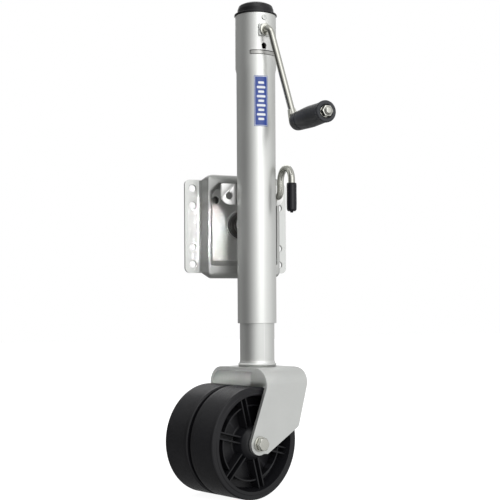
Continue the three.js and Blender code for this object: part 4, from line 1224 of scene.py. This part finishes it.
def floor():
    """A white floor that only the camera sees, so that it leaves no dark reflection in the tubes."""
    level = cad_box[0][2] / MM - 0.2
    size = 6000
    corners = ((-size, -size), (size, -size), (size, size), (-size, size))
    data = bpy.data.meshes.new("floor")
    data.from_pydata([tuple(c * MM for c in (x, y, level)) for x, y in corners], [], [(0, 1, 2, 3)])
    obj = add_object("floor", data)
    m = Nodes("floor_paint")
    m.set(color=(0.30, 0.30, 0.30), rough=0.9, specular=0.0)
    nodes = m.tree.nodes
    glow = nodes.new("ShaderNodeEmission")
    glow.inputs["Strength"].default_value = 0.93
    seen = nodes.new("ShaderNodeAddShader")
    choose = nodes.new("ShaderNodeMixShader")
    rays = nodes.new("ShaderNodeLightPath")
    m.link(m.shader.outputs[0], seen.inputs[0])
    m.link(glow.outputs[0], seen.inputs[1])
    m.link(rays.outputs["Is Camera Ray"], choose.inputs[0])
    m.link(nodes.new("ShaderNodeBsdfTransparent").outputs[0], choose.inputs[1])
    m.link(seen.outputs[0], choose.inputs[2])
    m.link(choose.outputs[0], nodes["Material Output"].inputs["Surface"])
    data.materials.append(m.material)


def area_light(name, direction, distance, size, power, aim=(0, -80, -40)):
    """A lamp at distance metres from aim, a point in millimetres, in the given direction."""
    data = bpy.data.lights.new(name, "AREA")
    data.shape = "RECTANGLE"
    data.size, data.size_y = size
    data.energy = power
    obj = add_object(name, data)
    spot = Vector(aim) * MM + Vector(direction).normalized() * distance
    obj.location = spot
    obj.rotation_euler = (Vector(aim) * MM - spot).to_track_quat("-Z", "Y").to_euler()
    return data


def lights():
    """A studio of soft grey light, brighter in front and above, and five lamps."""
    world = bpy.data.worlds.new("studio")
    bpy.context.scene.world = world
    world.use_nodes = True
    tree = world.node_tree

    def node(kind, *sources, **settings):
        made = tree.nodes.new(kind)
        for key, value in settings.items():
            setattr(made, key, value)
        for socket, source in zip(made.inputs, sources):
            if isinstance(source, bpy.types.NodeSocket):
                tree.links.new(source, socket)
            else:
                socket.default_value = source
        return made

    around = node("ShaderNodeTexCoord").outputs["Generated"]
    level = None
    for direction, start, end, amount in (((0.04, -1, 0), 0.0, 1.0, 0.58), ((-0.98, -0.21, 0), 0.5, 0.98, -0.46),
                                          ((-0.41, 0.91, 0), 0.6, 1.0, -0.25), ((1, -0.1, 0), 0.3, 1.0, 0.10),
                                          ((0, 0, 1), 0.2, 1.0, 0.30), ((0, 0, -1), 0.2, 1.0, -0.35)):
        dot = node("ShaderNodeVectorMath", around, Vector(direction).normalized(), operation="DOT_PRODUCT")
        lobe = node("ShaderNodeMapRange", dot.outputs["Value"], start, end, 0, amount,
                    interpolation_type="SMOOTHSTEP").outputs["Result"]
        level = node("ShaderNodeMath", level, lobe, operation="ADD").outputs[0] if level else lobe
    level = node("ShaderNodeMath", level, 0.52, operation="ADD").outputs[0]
    seen = node("ShaderNodeLightPath").outputs["Is Camera Ray"]
    choose = node("ShaderNodeMix", seen, data_type="FLOAT")
    tree.links.new(level, choose.inputs[2])
    choose.inputs[3].default_value = 1.0
    background = tree.nodes["Background"]
    tree.links.new(choose.outputs[0], background.inputs["Strength"])
    background.inputs["Color"].default_value = (1, 1, 1, 1)
    narrow = math.radians(4)
    area_light("key", (0.06, -1, 0.3), 2.4, (1.7, 2.0), 12.5)
    area_light("top", (-0.1, -0.55, 1), 2.6, (1.4, 1.4), 10)
    area_light("dish", (-0.12, -1, 0), 0.7, (0.03, 0.085), 0.026, (-45, -19, -10)).spread = narrow
    area_light("fork", (-0.407, -0.9135, 0.02), 0.7, (0.09, 0.016), 0.013, (-10, -30, -226)).spread = narrow
    area_light("back", (0.3, 1, 0.8), 2.4, (1.6, 1.4), 8)


def view_settings():
    scene = bpy.context.scene
    scene.view_settings.view_transform = "Standard"
    scene.view_settings.look = "None"


# ------------------------------------------------------------------ build
for step in (camera, floor, lights, view_settings, outer_tube, inner_tube, top_cap, cap_rivet, front_bushing,
             label, swivel_bracket, weld_beads, lambda: finish_bracket(mount_bracket()), pivot, crank_handle,
             shaft_rings, crank_grip, lock_pin, vinyl_grip, pin_spring, yoke, kingpin_and_race, axle_pieces,
             wheels, thrust_plate, drive_screw, kept_nodes):
    step()
